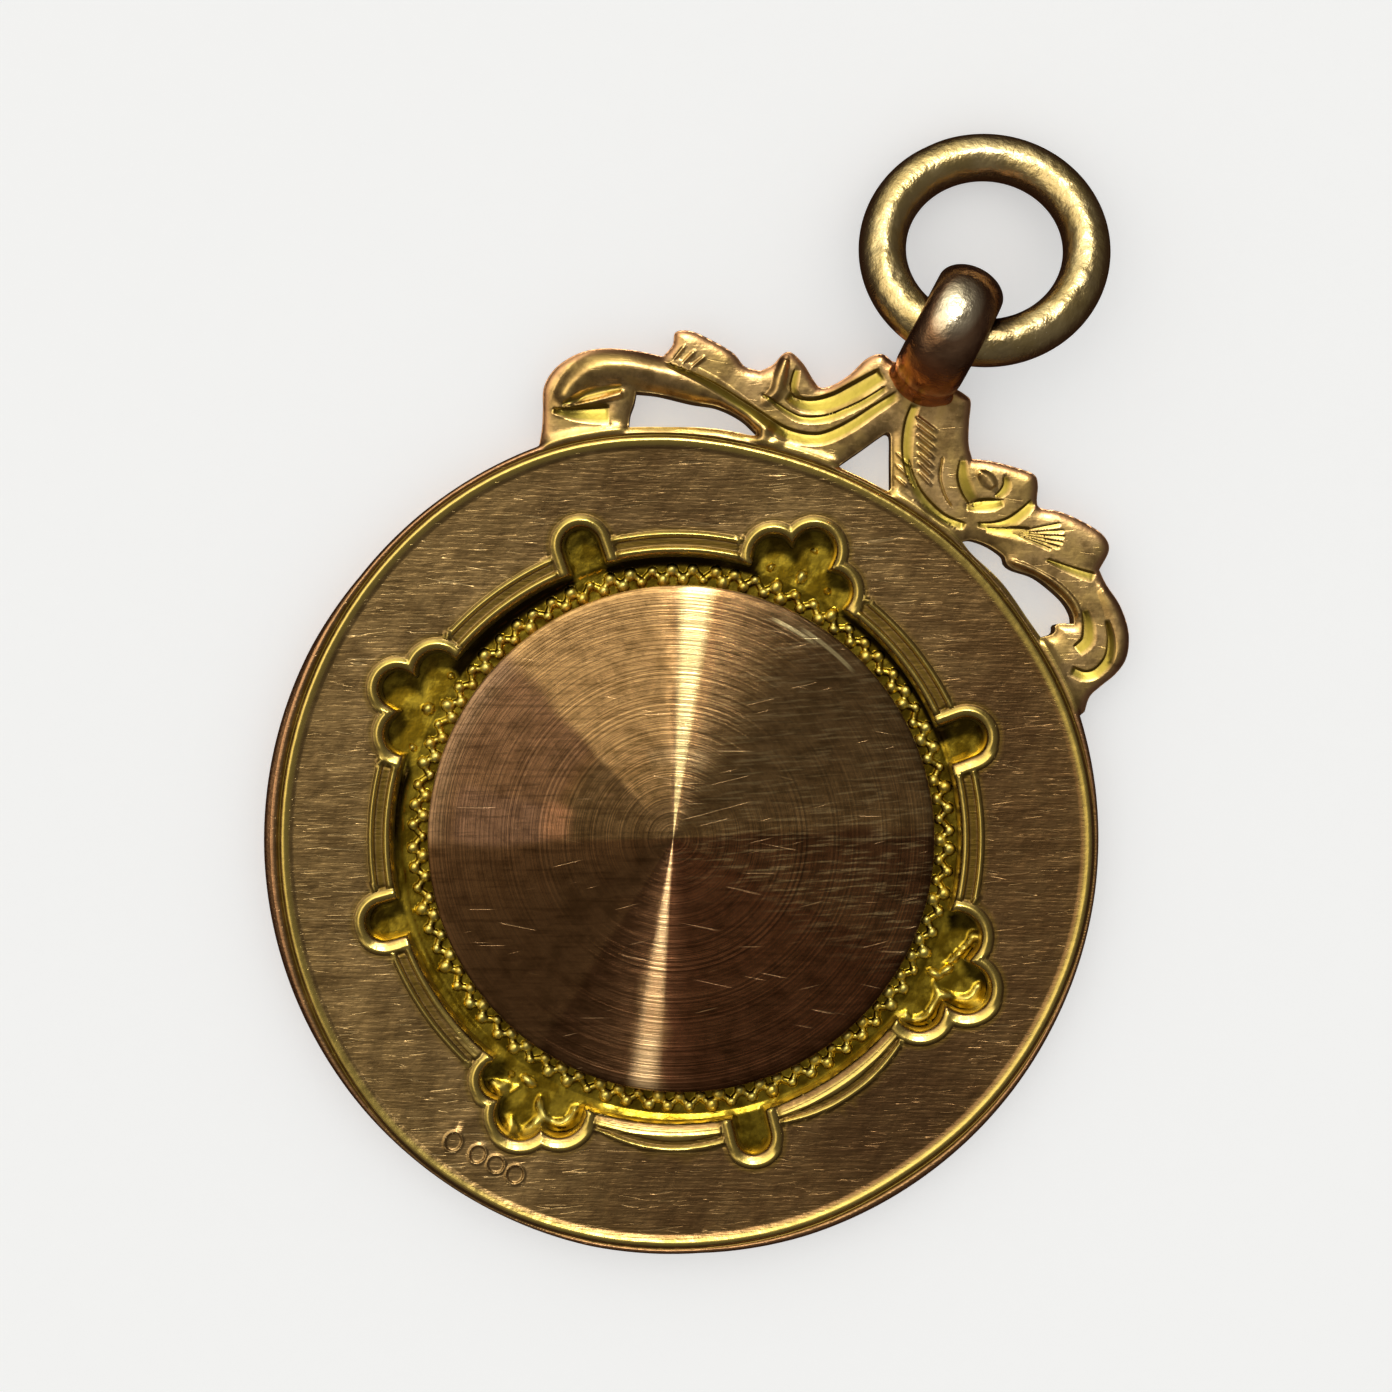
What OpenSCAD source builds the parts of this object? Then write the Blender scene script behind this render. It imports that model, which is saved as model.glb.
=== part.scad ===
// Gold fob medal pendant: round pierced plate, scroll crest with an eye, turned centre disc and jump ring.
// It lies flat: +Z is up, the decorated side faces up, +Y runs from the disc to the ring.

/* [Plate] */
// Thickness of the round plate
plate_t = 1.3; // [1.2:0.05:1.8]
// Depth of the recess floor below the plate's face
recess_depth = 0.6; // [0.4:0.05:0.7]
// Height of the ridges round the opening
ridge_h = 0.2; // [0.1:0.02:0.3]

/* [Beaded border] */
// Number of beads in each of the two rows
bead_count = 80; // [60:1:82]
// Radius of the beads in the outer row
bead_r = 0.22; // [0.15:0.01:0.24]

/* [Centre disc] */
// Height of the centre disc above the plate's face
disc_rise = 0.2; // [0:0.05:0.5]

/* [Crest] */
// Depth of the engraved lines
engrave_depth = 0.18; // [0.08:0.02:0.3]

/* [Eye and ring] */
// Height of the eye's centre above the surface
eye_z = 2.3; // [2.2:0.05:2.5]
// Radius of the hole through the eye
eye_hole_r = 1.15; // [1.1:0.01:1.25]
// Radius of the jump ring's wire
wire_r = 0.735; // [0.6:0.005:0.75]

/* [Hidden] */

// Clearance between pieces that are set into each other
gap = 0.04;
// Overshoot of a cutting shape past the face that it cuts
over = 0.5;

// Round plate
plate_r = 13;
rim_groove_r = 12.68;
groove_centre = [-0.12, -0.12];

// Opening: the arcs share one centre, and each lobe is a group of round bites outside them
arc_centre = [-0.1, -0.1];
arc_r = 9.02;
ridge_in = 0.25;
ridge_out = 0.2;

// Angles at which each stretch of double ridge starts and ends
ARC_SPANS = [[105, 132], [144.5, 167.5], [194, 216.5], [230.5, 256],
             [279, 306], [316.5, 346], [16.5, 40.5], [56, 81]];

// Columns: x, y and radius of the ridge's centre line round one bite of the opening
TOP_LOBE = [[-0.45, 9.85, 0.88], [-1.5, 9.15, 0.85], [0.6, 8.95, 0.85]];
RIGHT_LOBE = [[10, -0.05, 0.95], [9, 1.25, 0.95], [9, -1.25, 0.9]];
BOTTOM_LOBE = [[-0.5, -9.9, 0.97], [-1.55, -9.25, 0.8], [0.55, -9.2, 0.92]];
LEFT_LOBE = [[-9.95, 0.1, 0.8], [-9.1, 1.1, 0.88], [-9.1, -1.05, 0.85]];
TREFOILS = [TOP_LOBE, RIGHT_LOBE, BOTTOM_LOBE, LEFT_LOBE];

// Columns: angle of the lobe, radius at which its round end is centred, radius of the ridge's centre line
NARROW_LOBES = [[136.3, 9.62, 0.78], [47, 9.4, 0.82], [-48.9, 9.52, 0.72], [-137, 9.55, 0.78]];

// Recess
floor_z = plate_t - recess_depth;
panel_r = 11.4;
plug_r = 6;
bead_ring_r = 8.34;
inner_bead_ring_r = 8.07;
inner_bead_r = bead_r * 0.8;
boss_ring_r = 9.05;
BOSS_ANGLES = [92.5, 0, 268, 180];

// Centre disc
disc_r = 7.88;
disc_top = plate_t + disc_rise;

// Silhouette of the crest, from its left foot over the top to its right foot
CREST_LEFT = [[-9.5, 9.1], [-9.9, 9.8], [-10.25, 10.5], [-10.2, 11.2], [-9.8, 11.9], [-9.2, 12.4],
              [-8.3, 12.8], [-7.4, 13.05]];
CREST_LEFT_LEAF = [[-7.4, 13.05], [-7.3, 13.5], [-7.4, 13.9], [-7, 14.15], [-6.3, 14.2], [-5.5, 14.15],
                   [-5, 13.95], [-4.5, 14.05]];
CREST_LEFT_TIP = [[-4.5, 14.05], [-4.15, 14.8], [-3.9, 15], [-3.4, 14.85], [-2.9, 14.5], [-2.6, 14.45]];
CREST_LEFT_NECK = [[-2.6, 14.45], [-2.3, 14.7], [-2, 15.2], [-1.75, 15.9], [-1.4, 16.25], [-1, 16.2],
                   [0, 16.5], [1.1, 16.35], [1.7, 16.25]];
CREST_RIGHT_NECK = [[1.7, 16.25], [1.85, 16], [2.3, 15], [2.6, 14.65]];
CREST_RIGHT_TIP = [[2.6, 14.65], [3.2, 14.85], [4, 15.05], [4.6, 15.1], [4.85, 14.8], [5, 14.4]];
CREST_RIGHT_LEAF = [[5, 14.4], [5.2, 14.25], [5.8, 14.45], [6.6, 14.5], [7.3, 14.45], [7.7, 14.1],
                    [7.7, 13.4]];
CREST_RIGHT = [[7.7, 13.4], [8, 13.1], [8.8, 12.7], [9.4, 12.1], [9.7, 11.4], [9.65, 10.8], [9.4, 10.2],
               [9.25, 9.75], [9.3, 9]];

// Holes pierced through the crest
LEFT_HOLE = [[-7.65, 11.7], [-7, 11.95], [-6, 12.2], [-5.2, 12.45], [-4.2, 12.45], [-3.75, 12.25],
             [-4.2, 12.05], [-5, 11.8], [-6.5, 11.05], [-7.4, 10.6], [-7.55, 11]];
TRIANGLE_HOLE = [[-0.98, 12.55], [-0.6, 13.3], [-0.15, 14.1], [0.02, 14.1], [0.3, 13.6], [0.78, 12.7],
                 [0.7, 12.55]];
RIGHT_HOLE = [[3.5, 12.2], [3.7, 12.4], [4.3, 12.5], [4.9, 12.4], [5.1, 12.2], [5.6, 12.3], [6.3, 12.25],
              [7, 12.15], [7.6, 11.8], [7.8, 11.55], [7.3, 11.3], [7.3, 11], [7.1, 10.7], [6.6, 10.95],
              [5.2, 11.65], [4, 12]];

// Engraved lines of the crest: each has a width and the points of its middle line
LEFT_SCROLL = [[-7.4, 12.75], [-5.8, 12.9], [-4.3, 12.75], [-2.9, 12.6], [-1.9, 12.9], [-1.5, 13.3],
               [-1.1, 13.9], [-0.75, 14.5], [-0.25, 15.3]];
LEFT_LEAF = [[-3.5, 13.8], [-3, 13.65], [-2.5, 13.85], [-2, 14.2], [-1.6, 14.8], [-1, 15.5]];
LEFT_FOOT = [[-9.5, 10.05], [-8.9, 10.65], [-8.3, 11.2], [-8, 11.5]];
LEFT_TIP = [[-3.7, 14.5], [-3.55, 14.2], [-3.4, 13.9]];
RIGHT_SCROLL = [[0.35, 15.3], [0.5, 14.6], [0.8, 13.9], [1.2, 13.3], [1.8, 12.9], [2.6, 12.65],
                [3.3, 12.75]];
RIGHT_LEAF = [[2.1, 14.6], [2.3, 14.05], [2.7, 13.65], [3.3, 13.45], [4, 13.75]];
RIGHT_CURL = [[3.8, 12.95], [4.2, 13.1], [4.6, 13.5], [4.85, 14], [4.95, 14.25]];
RIGHT_BAND = [[6.1, 12.95], [7, 13], [7.6, 13.1]];
RIGHT_EDGE = [[5.3, 12.55], [6.6, 12.55], [7.4, 12.35], [8.05, 11.75], [8.35, 11.1], [8.25, 10.7]];
RIGHT_FOOT = [[8.7, 12], [9.05, 11.5], [9.15, 11], [9, 10.5], [8.6, 10.3]];
ENGRAVED = [[0.3, LEFT_SCROLL], [0.45, LEFT_LEAF], [0.25, LEFT_FOOT], [0.2, LEFT_TIP],
            [0.3, RIGHT_SCROLL], [0.4, RIGHT_LEAF], [0.25, RIGHT_CURL], [0.25, RIGHT_BAND],
            [0.3, RIGHT_EDGE], [0.25, RIGHT_FOOT]];

// Short cuts in rows: the first cut's start and end, the step to the next cut and the number of cuts
HATCHES = [[[-7.15, 12.98], [-7.2, 13.6], [0.22, 0], 4],
           [[0.62, 14.95], [1.25, 15.3], [0.1, -0.38], 6],
           [[0.35, 13.75], [0.95, 14.05], [0.2, -0.33], 4]];
hatch_w = 0.12;
// Fan of cuts in the right leaf: the point that they spread from and the ends of the cuts
FAN_START = [4.35, 13.05];
FAN_ENDS = [[5.95, 14.15], [6.2, 13.95], [6.35, 13.7], [6.4, 13.4]];

// Eye
eye_pos = [0.12, 17.68, eye_z];
eye_wall = 0.96;
eye_half_w = 1.05;
solder_r = 0.85;

// Jump ring: the normal of its plane leans so that its far side rests on the surface
ring_r = 3.15;
ring_lean = [-0.17, 0.2586];
lean_slope = norm(ring_lean);
lean_angle = atan(lean_slope);
ring_rest_gap = 0.02;
ring_pos = [-0.07, 20.5, ring_r * sin(lean_angle) + wire_r + ring_rest_gap];

// A point at an angle and distance from the origin
function polar(a, r) = [r * cos(a), r * sin(a)];

// Smooth curve through points, with n steps to each stretch
function curve_point(p, i, t) =
    let (a = p[max(i - 1, 0)], b = p[i], c = p[i + 1], d = p[min(i + 2, len(p) - 1)])
    0.5 * (2 * b + (c - a) * t + (2 * a - 5 * b + 4 * c - d) * t * t
           + (3 * b - a - 3 * c + d) * t * t * t);
function curve(p, n) =
    concat([for (i = [0 : len(p) - 2], k = [0 : n - 1]) curve_point(p, i, k / n)], [p[len(p) - 1]]);

// Outline of a line of width w that narrows to both ends
function normal(p, i) =
    let (d = p[min(i + 1, len(p) - 1)] - p[max(i - 1, 0)])
    [-d[1], d[0]] / norm(d);
function taper(i, n) = 0.5 * (0.25 + 0.75 * sin(180 * i / n));
function stroke(p, w) =
    let (last = len(p) - 1)
    concat([for (i = [0 : last]) p[i] + normal(p, i) * w * taper(i, last)],
           [for (i = [last : -1 : 0]) p[i] - normal(p, i) * w * taper(i, last)]);

crest_edge = concat(curve(CREST_LEFT, 2), curve(CREST_LEFT_LEAF, 2), curve(CREST_LEFT_TIP, 2),
                    curve(CREST_LEFT_NECK, 2), curve(CREST_RIGHT_NECK, 2), curve(CREST_RIGHT_TIP, 2),
                    curve(CREST_RIGHT_LEAF, 2), curve(CREST_RIGHT, 2));
crest_root_r = 12;

// One lobe of the opening, grown by g from the ridge's centre line
module trefoil_shape(lobe, g) {
    for (bite = lobe)
        translate([bite[0], bite[1]]) circle(r = bite[2] + g, $fn = 48);
    side_a = [lobe[1][0], lobe[1][1]];
    side_b = [lobe[2][0], lobe[2][1]];
    polygon([[lobe[0][0], lobe[0][1]], side_a, side_a * 0.92, side_b * 0.92, side_b]);
}

module narrow_shape(lobe, g) {
    rotate(lobe[0]) {
        translate([lobe[1], 0]) circle(r = lobe[2] + g, $fn = 48);
        translate([arc_r - 1, -lobe[2] - g]) square([lobe[1] - arc_r + 1, 2 * (lobe[2] + g)]);
    }
}

module lobes(g) {
    for (lobe = TREFOILS) trefoil_shape(lobe, g);
    for (lobe = NARROW_LOBES) narrow_shape(lobe, g);
}

module opening() {
    translate(arc_centre) circle(r = arc_r, $fn = 180);
    lobes(-ridge_in);
}

// Round plate with a turned groove and bead at its rim
module plate() {
    rotate_extrude($fn = 180)
        polygon([[0, 0], [plate_r - 0.2, 0], [plate_r, 0.2], [plate_r, plate_t - 0.14],
                 [plate_r - 0.08, plate_t - 0.02], [plate_r - 0.2, plate_t], [0, plate_t]]);
}

module rim_ridge() {
    translate([groove_centre[0], groove_centre[1], 0])
        rotate_extrude($fn = 180)
            polygon([[rim_groove_r - 0.3, plate_t - 0.2], [rim_groove_r - 0.05, plate_t - 0.2],
                     [rim_groove_r - 0.05, plate_t + 0.04], [rim_groove_r - 0.12, plate_t + 0.1],
                     [rim_groove_r - 0.22, plate_t + 0.08], [rim_groove_r - 0.3, plate_t]]);
}

// Two ridges with a shallow channel between them
module arc_ridge(span) {
    top = plate_t + ridge_h;
    translate([arc_centre[0], arc_centre[1], 0])
        rotate(span[0])
            rotate_extrude(angle = span[1] - span[0], $fn = 180)
                polygon([[arc_r, plate_t - 0.2], [arc_r + 0.03, top - 0.08], [arc_r + 0.15, top],
                         [arc_r + 0.26, top - 0.05], [arc_r + 0.4, plate_t + 0.02],
                         [arc_r + 0.5, top - 0.08], [arc_r + 0.58, top - 0.05],
                         [arc_r + 0.68, plate_t], [arc_r + 0.68, plate_t - 0.2]]);
}

module lobe_ridges() {
    translate([0, 0, plate_t - 0.2])
        linear_extrude(0.2 + ridge_h * 0.6)
            difference() {
                lobes(ridge_out);
                opening();
            }
    translate([0, 0, plate_t])
        linear_extrude(ridge_h)
            difference() {
                lobes(ridge_out / 2);
                lobes(-ridge_out / 2);
                translate(arc_centre) circle(r = arc_r, $fn = 180);
            }
}

module crest_blank() {
    linear_extrude(plate_t)
        polygon(concat(crest_edge, [for (a = [46 : 10 : 136]) polar(a, crest_root_r)]));
}

module engraving() {
    for (line = ENGRAVED)
        linear_extrude(engrave_depth + over) polygon(stroke(curve(line[1], 2), line[0]));
    for (h = HATCHES, i = [0 : h[3] - 1])
        linear_extrude(engrave_depth * 0.6 + over)
            polygon(stroke([h[0] + i * h[2], (h[0] + h[1]) / 2 + i * h[2], h[1] + i * h[2]], hatch_w));
    for (end = FAN_ENDS)
        linear_extrude(engrave_depth * 0.6 + over)
            polygon(stroke([FAN_START, (FAN_START + end) / 2, end], hatch_w));
}

module eye() {
    translate(eye_pos)
        rotate([0, 90, 0])
            rotate_extrude($fn = 64)
                translate([eye_hole_r + eye_wall / 2, 0])
                    polygon([for (a = [0 : 20 : 340])
                             [eye_wall / 2 * cos(a), eye_half_w * sign(sin(a)) * sqrt(abs(sin(a)))]]);
}

module frame() {
    color("darkgoldenrod")
        difference() {
            union() {
                plate();
                crest_blank();
                rim_ridge();
                for (span = ARC_SPANS) arc_ridge(span);
                lobe_ridges();
                eye();
                translate([eye_pos[0], 16, plate_t - 0.1]) sphere(r = solder_r, $fn = 32);
            }
            translate([0, 0, -over]) linear_extrude(plate_t + 2 * over) opening();
            translate([0, 0, -over]) cylinder(r = panel_r, h = floor_z + over, $fn = 180);
            for (hole = [LEFT_HOLE, TRIANGLE_HOLE, RIGHT_HOLE])
                translate([0, 0, -over]) linear_extrude(plate_t + 2 * over) polygon(hole);
            translate([0, 0, plate_t - engrave_depth]) engraving();
            translate(eye_pos) rotate([0, 90, 0])
                cylinder(r = eye_hole_r, h = 4 * eye_half_w, center = true, $fn = 64);
        }
}

module bead(a, ring, r) {
    rotate(a) translate([ring, 0, floor_z + r * 0.25]) sphere(r = r, $fn = 14);
}

// Domed boss with a small bead on each side
module floor_boss(a) {
    rotate(a) translate([boss_ring_r, 0, 0])
        intersection() {
            translate([0, 0, floor_z - 0.55]) sphere(r = 0.85, $fn = 32);
            translate([0, 0, floor_z - 0.2]) cylinder(r = 1, h = 1, $fn = 32);
        }
    for (side = [-1, 1])
        rotate(a + side * 6) translate([boss_ring_r - 0.15, 0, floor_z]) sphere(r = 0.24, $fn = 16);
}

module stamped_panel() {
    step = 360 / bead_count;
    color("goldenrod")
        difference() {
            union() {
                cylinder(r = panel_r - gap, h = floor_z - gap, $fn = 180);
                cylinder(r = arc_r - 0.35, h = floor_z, $fn = 180);
                for (i = [0 : bead_count - 1]) {
                    bead(i * step, bead_ring_r, bead_r);
                    bead((i + 0.5) * step, inner_bead_ring_r, inner_bead_r);
                }
                for (a = BOSS_ANGLES) floor_boss(a);
            }
            translate([0, 0, -over]) cylinder(r = plug_r + gap, h = plate_t + over, $fn = 120);
        }
}

module centre_disc() {
    color("rosybrown")
        rotate_extrude($fn = 180)
            polygon([[0, 0], [plug_r, 0], [plug_r, floor_z + gap], [inner_bead_ring_r - 0.35, floor_z + gap],
                     [inner_bead_ring_r - 0.35, floor_z + 0.3], [disc_r, floor_z + 0.4],
                     [disc_r, disc_top - 0.1], [disc_r - 0.14, disc_top], [0, disc_top]]);
}

module jump_ring() {
    color("darkgoldenrod")
        translate(ring_pos)
            rotate(atan2(ring_lean[1], ring_lean[0]))
                rotate([0, lean_angle, 0])
                    rotate_extrude($fn = 96)
                        translate([ring_r, 0]) circle(r = wire_r, $fn = 32);
}

frame();
stamped_panel();
centre_disc();
jump_ring();
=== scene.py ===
import math

import bmesh
import bpy
import numpy as np
from mathutils import Matrix, Vector
from mathutils.geometry import delaunay_2d_cdt
from mathutils.kdtree import KDTree


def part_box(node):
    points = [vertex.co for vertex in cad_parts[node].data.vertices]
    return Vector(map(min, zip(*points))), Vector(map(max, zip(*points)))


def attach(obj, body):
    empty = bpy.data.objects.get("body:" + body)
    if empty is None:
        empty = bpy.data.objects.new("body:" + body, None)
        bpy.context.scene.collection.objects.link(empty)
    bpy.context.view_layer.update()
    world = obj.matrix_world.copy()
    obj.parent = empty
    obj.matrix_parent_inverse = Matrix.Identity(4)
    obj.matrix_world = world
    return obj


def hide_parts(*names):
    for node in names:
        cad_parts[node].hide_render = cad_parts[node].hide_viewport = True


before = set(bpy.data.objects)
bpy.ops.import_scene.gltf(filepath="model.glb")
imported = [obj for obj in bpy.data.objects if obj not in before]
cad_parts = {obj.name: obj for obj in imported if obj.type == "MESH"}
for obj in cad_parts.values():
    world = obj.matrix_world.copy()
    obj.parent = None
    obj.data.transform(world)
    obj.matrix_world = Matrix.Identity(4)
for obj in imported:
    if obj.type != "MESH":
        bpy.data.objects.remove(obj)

# Blender's own start objects go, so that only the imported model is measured
for start_object in [o for o in bpy.data.objects if o.type in ("MESH", "LIGHT", "CAMERA")]:
    if start_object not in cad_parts.values():
        bpy.data.objects.remove(start_object)
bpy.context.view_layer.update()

# Shapes are worked out in millimetres in the row frame, and turned into metres when a mesh is made
MM = 0.001

# How far the medal lies turned clockwise in the photo, in degrees
PHOTO_TURN = 27.4

# Points compared at a time with every stretch of a line, which keeps the arrays small
CHUNK = 256

# Levels
PLATE_TOP = 1.3
FLOOR_Z = 0.7
DISC_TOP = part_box("centre_disc")[1][2] / MM

# Round plate, and the levels under its face at which its side has a row of points
PLATE_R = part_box("frame")[1][0] / MM
REBATE_R = 11.4
SIDE_LEVELS = (0.75, 0.12, 0.0)

# Level above which the frame's faces shade as its relief
RELIEF_FROM_Z = 0.78

# Masks from 0 to 1 that the frame's mesh keeps for its material: polished ridges, bright cuts, metal
# rubbed to rose, dirt together with painted shade in grooves and at the feet of walls, and the crest
MASKS = ("polish", "cut", "rose", "dirt_and_shade", "crest")

# Ridge beside the plate's edge, which wanders a little: its radius every 15 degrees, from -180
RIM_RADII = [12.42, 12.36, 12.36, 12.42, 12.55, 12.72, 12.74, 12.66, 12.58, 12.54, 12.48, 12.55, 12.62,
             12.7, 12.7, 12.58, 12.4, 12.34, 12.24, 12.24, 12.42, 12.6, 12.62, 12.52]
RIM_LINE = [(15 * i, RIM_RADII[(i + 12) % 24]) for i in range(-13, 14)]

# How far the worn edge stands in from the turned circle: angle in degrees, millimetres
EDGE_WEAR = [(-180, 0.02), (-150, 0.0), (-75, 0.0), (-60, 0.08), (-45, 0.03), (0, 0.03), (20, 0.0),
             (140, 0.0), (157, 0.04), (168, 0.08), (180, 0.02)]

# Opening: arcs about one centre, with lobes outside them. A lobe's edge lies RIDGE_IN inside its ridge's
# centre line, and the foot of the wall FOOT_IN inside the edge
ARC_CENTRE = (-0.14, -0.08)
ARC_R = 8.86
RIDGE_IN = 0.18
FOOT_IN = 0.07

# Azimuth that the broader, lit side of the border faces
LIT_FROM = 125

# How the outer ridge bends outwards on two of the arcs. Columns: first and last angle, angle of the middle,
# how far out it is there, how far it drops within 15 degrees
ARC_BULGES = [(-84, -49, -63, 0.15, 0.34), (-49, -8, -28, 0.12, 0.27)]

# Columns: x, y and radius of the ridge's centre line round one bite of the opening
TREFOILS = [[(-0.45, 9.85, 0.88), (-1.5, 9.15, 0.85), (0.6, 8.95, 0.85)],
            [(10.0, -0.05, 0.95), (9.0, 1.25, 0.95), (9.0, -1.25, 0.9)],
            [(-0.5, -9.9, 0.97), (-1.55, -9.25, 0.8), (0.55, -9.28, 0.96)],
            [(-9.95, 0.1, 0.8), (-9.1, 1.1, 0.88), (-9.1, -1.05, 0.85)]]

# Point of each trefoil to which its three bites run together
HEARTS = [(-0.4, 8.7), (8.75, 0.0), (-0.5, -8.7), (-8.75, 0.05)]

# Columns: angle of the lobe, radius at which its round end is centred, radius of the ridge's centre line.
# They start at the radius LOBE_START_R. Where two walls meet, the way they face blends over LOBE_BLEND
LOBE_START_R = 7
LOBE_BLEND = 0.08
NARROW_LOBES = [(136.3, 9.62, 0.78), (47, 9.4, 0.82), (-48.9, 9.52, 0.72), (-137, 9.55, 0.78)]

# Sections of the border of the opening and of the rim. Columns: distance from the opening's edge or from
# the rim's ridge, height over the plate, dirt and painted shade from 0 to 1
WALL = [(-0.07, -0.5, 0.9), (-0.055, -0.34, 0.6), (-0.04, -0.2, 0.3), (-0.02, -0.1, 0.1), (0, -0.05, 0),
        (0.05, -0.01, 0), (0.1, 0, 0)]
LOBE_RIDGE = [(-0.06, 0, 0), (0, 0.02, 0), (0.06, 0.06, 0), (0.12, 0.1, 0), (0.18, 0.12, 0), (0.24, 0.1, 0),
              (0.31, 0.05, 0), (0.37, 0.01, 0.4), (0.43, -0.02, 0.8), (0.51, 0, 0.3), (0.6, 0, 0)]
LOBE_LIT = [(-0.06, -0.02, 0), (0, 0, 0), (0.1, 0.035, 0), (0.2, 0.07, 0), (0.28, 0.1, 0), (0.33, 0.11, 0),
            (0.38, 0.09, 0), (0.44, 0.02, 0.2), (0.5, -0.02, 0.8), (0.58, 0, 0.3), (0.66, 0, 0)]
ARC_RIDGE = [(-0.06, 0, 0), (0, 0.03, 0), (0.05, 0.08, 0), (0.1, 0.11, 0), (0.14, 0.12, 0), (0.19, 0.09, 0),
             (0.26, 0, 0.6), (0.34, -0.06, 1), (0.44, -0.05, 1), (0.5, 0, 0.3), (0.55, 0.07, 0),
             (0.6, 0.11, 0), (0.65, 0.09, 0), (0.71, 0.02, 0.3), (0.77, -0.01, 0.7), (0.84, 0, 0.2),
             (0.92, 0, 0)]
ARC_LIT = [(-0.06, -0.04, 0), (0, -0.02, 0), (0.07, 0.005, 0), (0.1, 0.01, 0.4), (0.13, 0.015, 0.1),
           (0.2, 0.05, 0), (0.23, 0.055, 0.35), (0.26, 0.06, 0.1), (0.31, 0.085, 0), (0.34, 0.09, 0),
           (0.38, 0.05, 0.3), (0.42, -0.02, 0.9), (0.48, -0.02, 0.8), (0.53, 0.03, 0.1), (0.6, 0.1, 0),
           (0.65, 0.09, 0), (0.71, 0.02, 0.3), (0.77, -0.01, 0.7), (0.84, 0, 0.2), (0.92, 0, 0)]
RIM = [(-0.4, 0, 0), (-0.32, 0, 0.2), (-0.28, 0.006, 0), (-0.18, 0.04, 0), (-0.08, 0.075, 0),
       (-0.02, 0.08, 0), (0.03, 0.06, 0), (0.08, 0.01, 0.2), (0.12, -0.05, 0.9), (0.16, -0.05, 0.9),
       (0.2, -0.01, 0.3), (0.26, 0.03, 0), (0.32, 0.05, 0), (0.38, 0.04, 0), (0.46, 0.01, 0), (0.6, 0, 0)]

# How far the plate's edge and the crest's edges are rounded down, and over what distance. The crest's face
# lies CREST_SUNK under the plate's, and its ridges fade towards its edges over RIDGE_FADE
PLATE_ROUNDING = (0.22, 0.09)
CREST_ROUNDING = (0.16, 0.16)
CREST_SUNK = 0.02
RIDGE_FADE = 0.12

# Distances from the opening's edge, from the rim's ridge, and from the silhouette and the crest's holes at
# which the mesh has a row of points
BORDER_ROWS = [-0.06, -0.03, 0.0, 0.02, 0.04, 0.07, 0.1, 0.13, 0.155, 0.18, 0.205, 0.23, 0.26, 0.29, 0.33,
               0.37, 0.41, 0.45, 0.48, 0.51, 0.54, 0.57, 0.6, 0.63, 0.66, 0.7, 0.75, 0.82, 0.9]
RIM_ROWS = [-0.34, -0.26, -0.2, -0.15, -0.1, -0.04, 0.01, 0.06, 0.1, 0.14, 0.18, 0.22, 0.27, 0.33, 0.4, 0.5]
EDGE_ROWS = (-0.12, -0.05, 0.05, 0.12)

# Grids of points on the crest, punch marks, plate and panel: lower left and upper right corner, spacing
CREST_GRID = ((-10.4, 8.8), (9.9, 16.6), 0.055)
PUNCH_GRID = ((-2.4, -12.05), (0.65, -11.2), 0.05)
PLATE_GRID = ((-13, -13), (13, 13), 0.42)
PANEL_GRID = ((-11, -11), (11, 11), 0.07)

# Spacing of the points along the silhouette, the foot of the opening's wall and the other edges of the face
OUTER_STEP = 0.085
OPENING_STEP = 0.075
HOLE_STEP = 0.08

# Rays that look for the opening's edge: their number, then first and last radius and number of places
RAY_COUNT = 7200
RAY_RADII = (11.9, 8.3, 181)

# Angles at which the crest starts to rise out of the plate, has its full height, still has it, and has gone
CREST_SPAN = (43, 46.5, 135.5, 139)

# Silhouette of the crest, from its left foot over the top to its right foot
CREST_EDGE = [[(-9.55, 8.82), (-9.72, 9.35), (-9.95, 9.85), (-10.25, 10.5), (-10.2, 11.2), (-9.8, 11.9),
               (-9.2, 12.4), (-8.3, 12.8), (-7.4, 13.05)],
              [(-7.4, 13.05), (-7.3, 13.5), (-7.4, 13.9), (-7.0, 14.15), (-6.3, 14.2), (-5.5, 14.15),
               (-5.0, 13.95), (-4.5, 14.05)],
              [(-4.5, 14.05), (-4.25, 14.4), (-4.12, 14.85), (-3.9, 15.0), (-3.4, 14.85), (-2.9, 14.55),
               (-2.6, 14.45), (-2.3, 14.7), (-2.0, 15.2), (-1.75, 15.9), (-1.4, 16.25), (-1.0, 16.2)],
              [(-1.0, 16.2), (0, 16.45), (1.1, 16.35)],
              [(1.1, 16.35), (1.5, 16.32), (1.75, 16.2), (2.0, 15.6), (2.3, 15.0), (2.6, 14.65)],
              [(2.6, 14.65), (3.2, 14.87), (4.0, 15.05), (4.55, 15.1), (4.8, 14.85), (5.0, 14.4),
               (5.2, 14.27), (5.8, 14.45), (6.6, 14.5), (7.3, 14.42), (7.68, 14.1), (7.7, 13.4)],
              [(7.7, 13.4), (8.1, 13.1), (8.8, 12.7), (9.4, 12.1), (9.7, 11.4), (9.65, 10.8), (9.4, 10.2),
               (9.25, 9.75), (9.35, 9.2)]]

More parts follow.
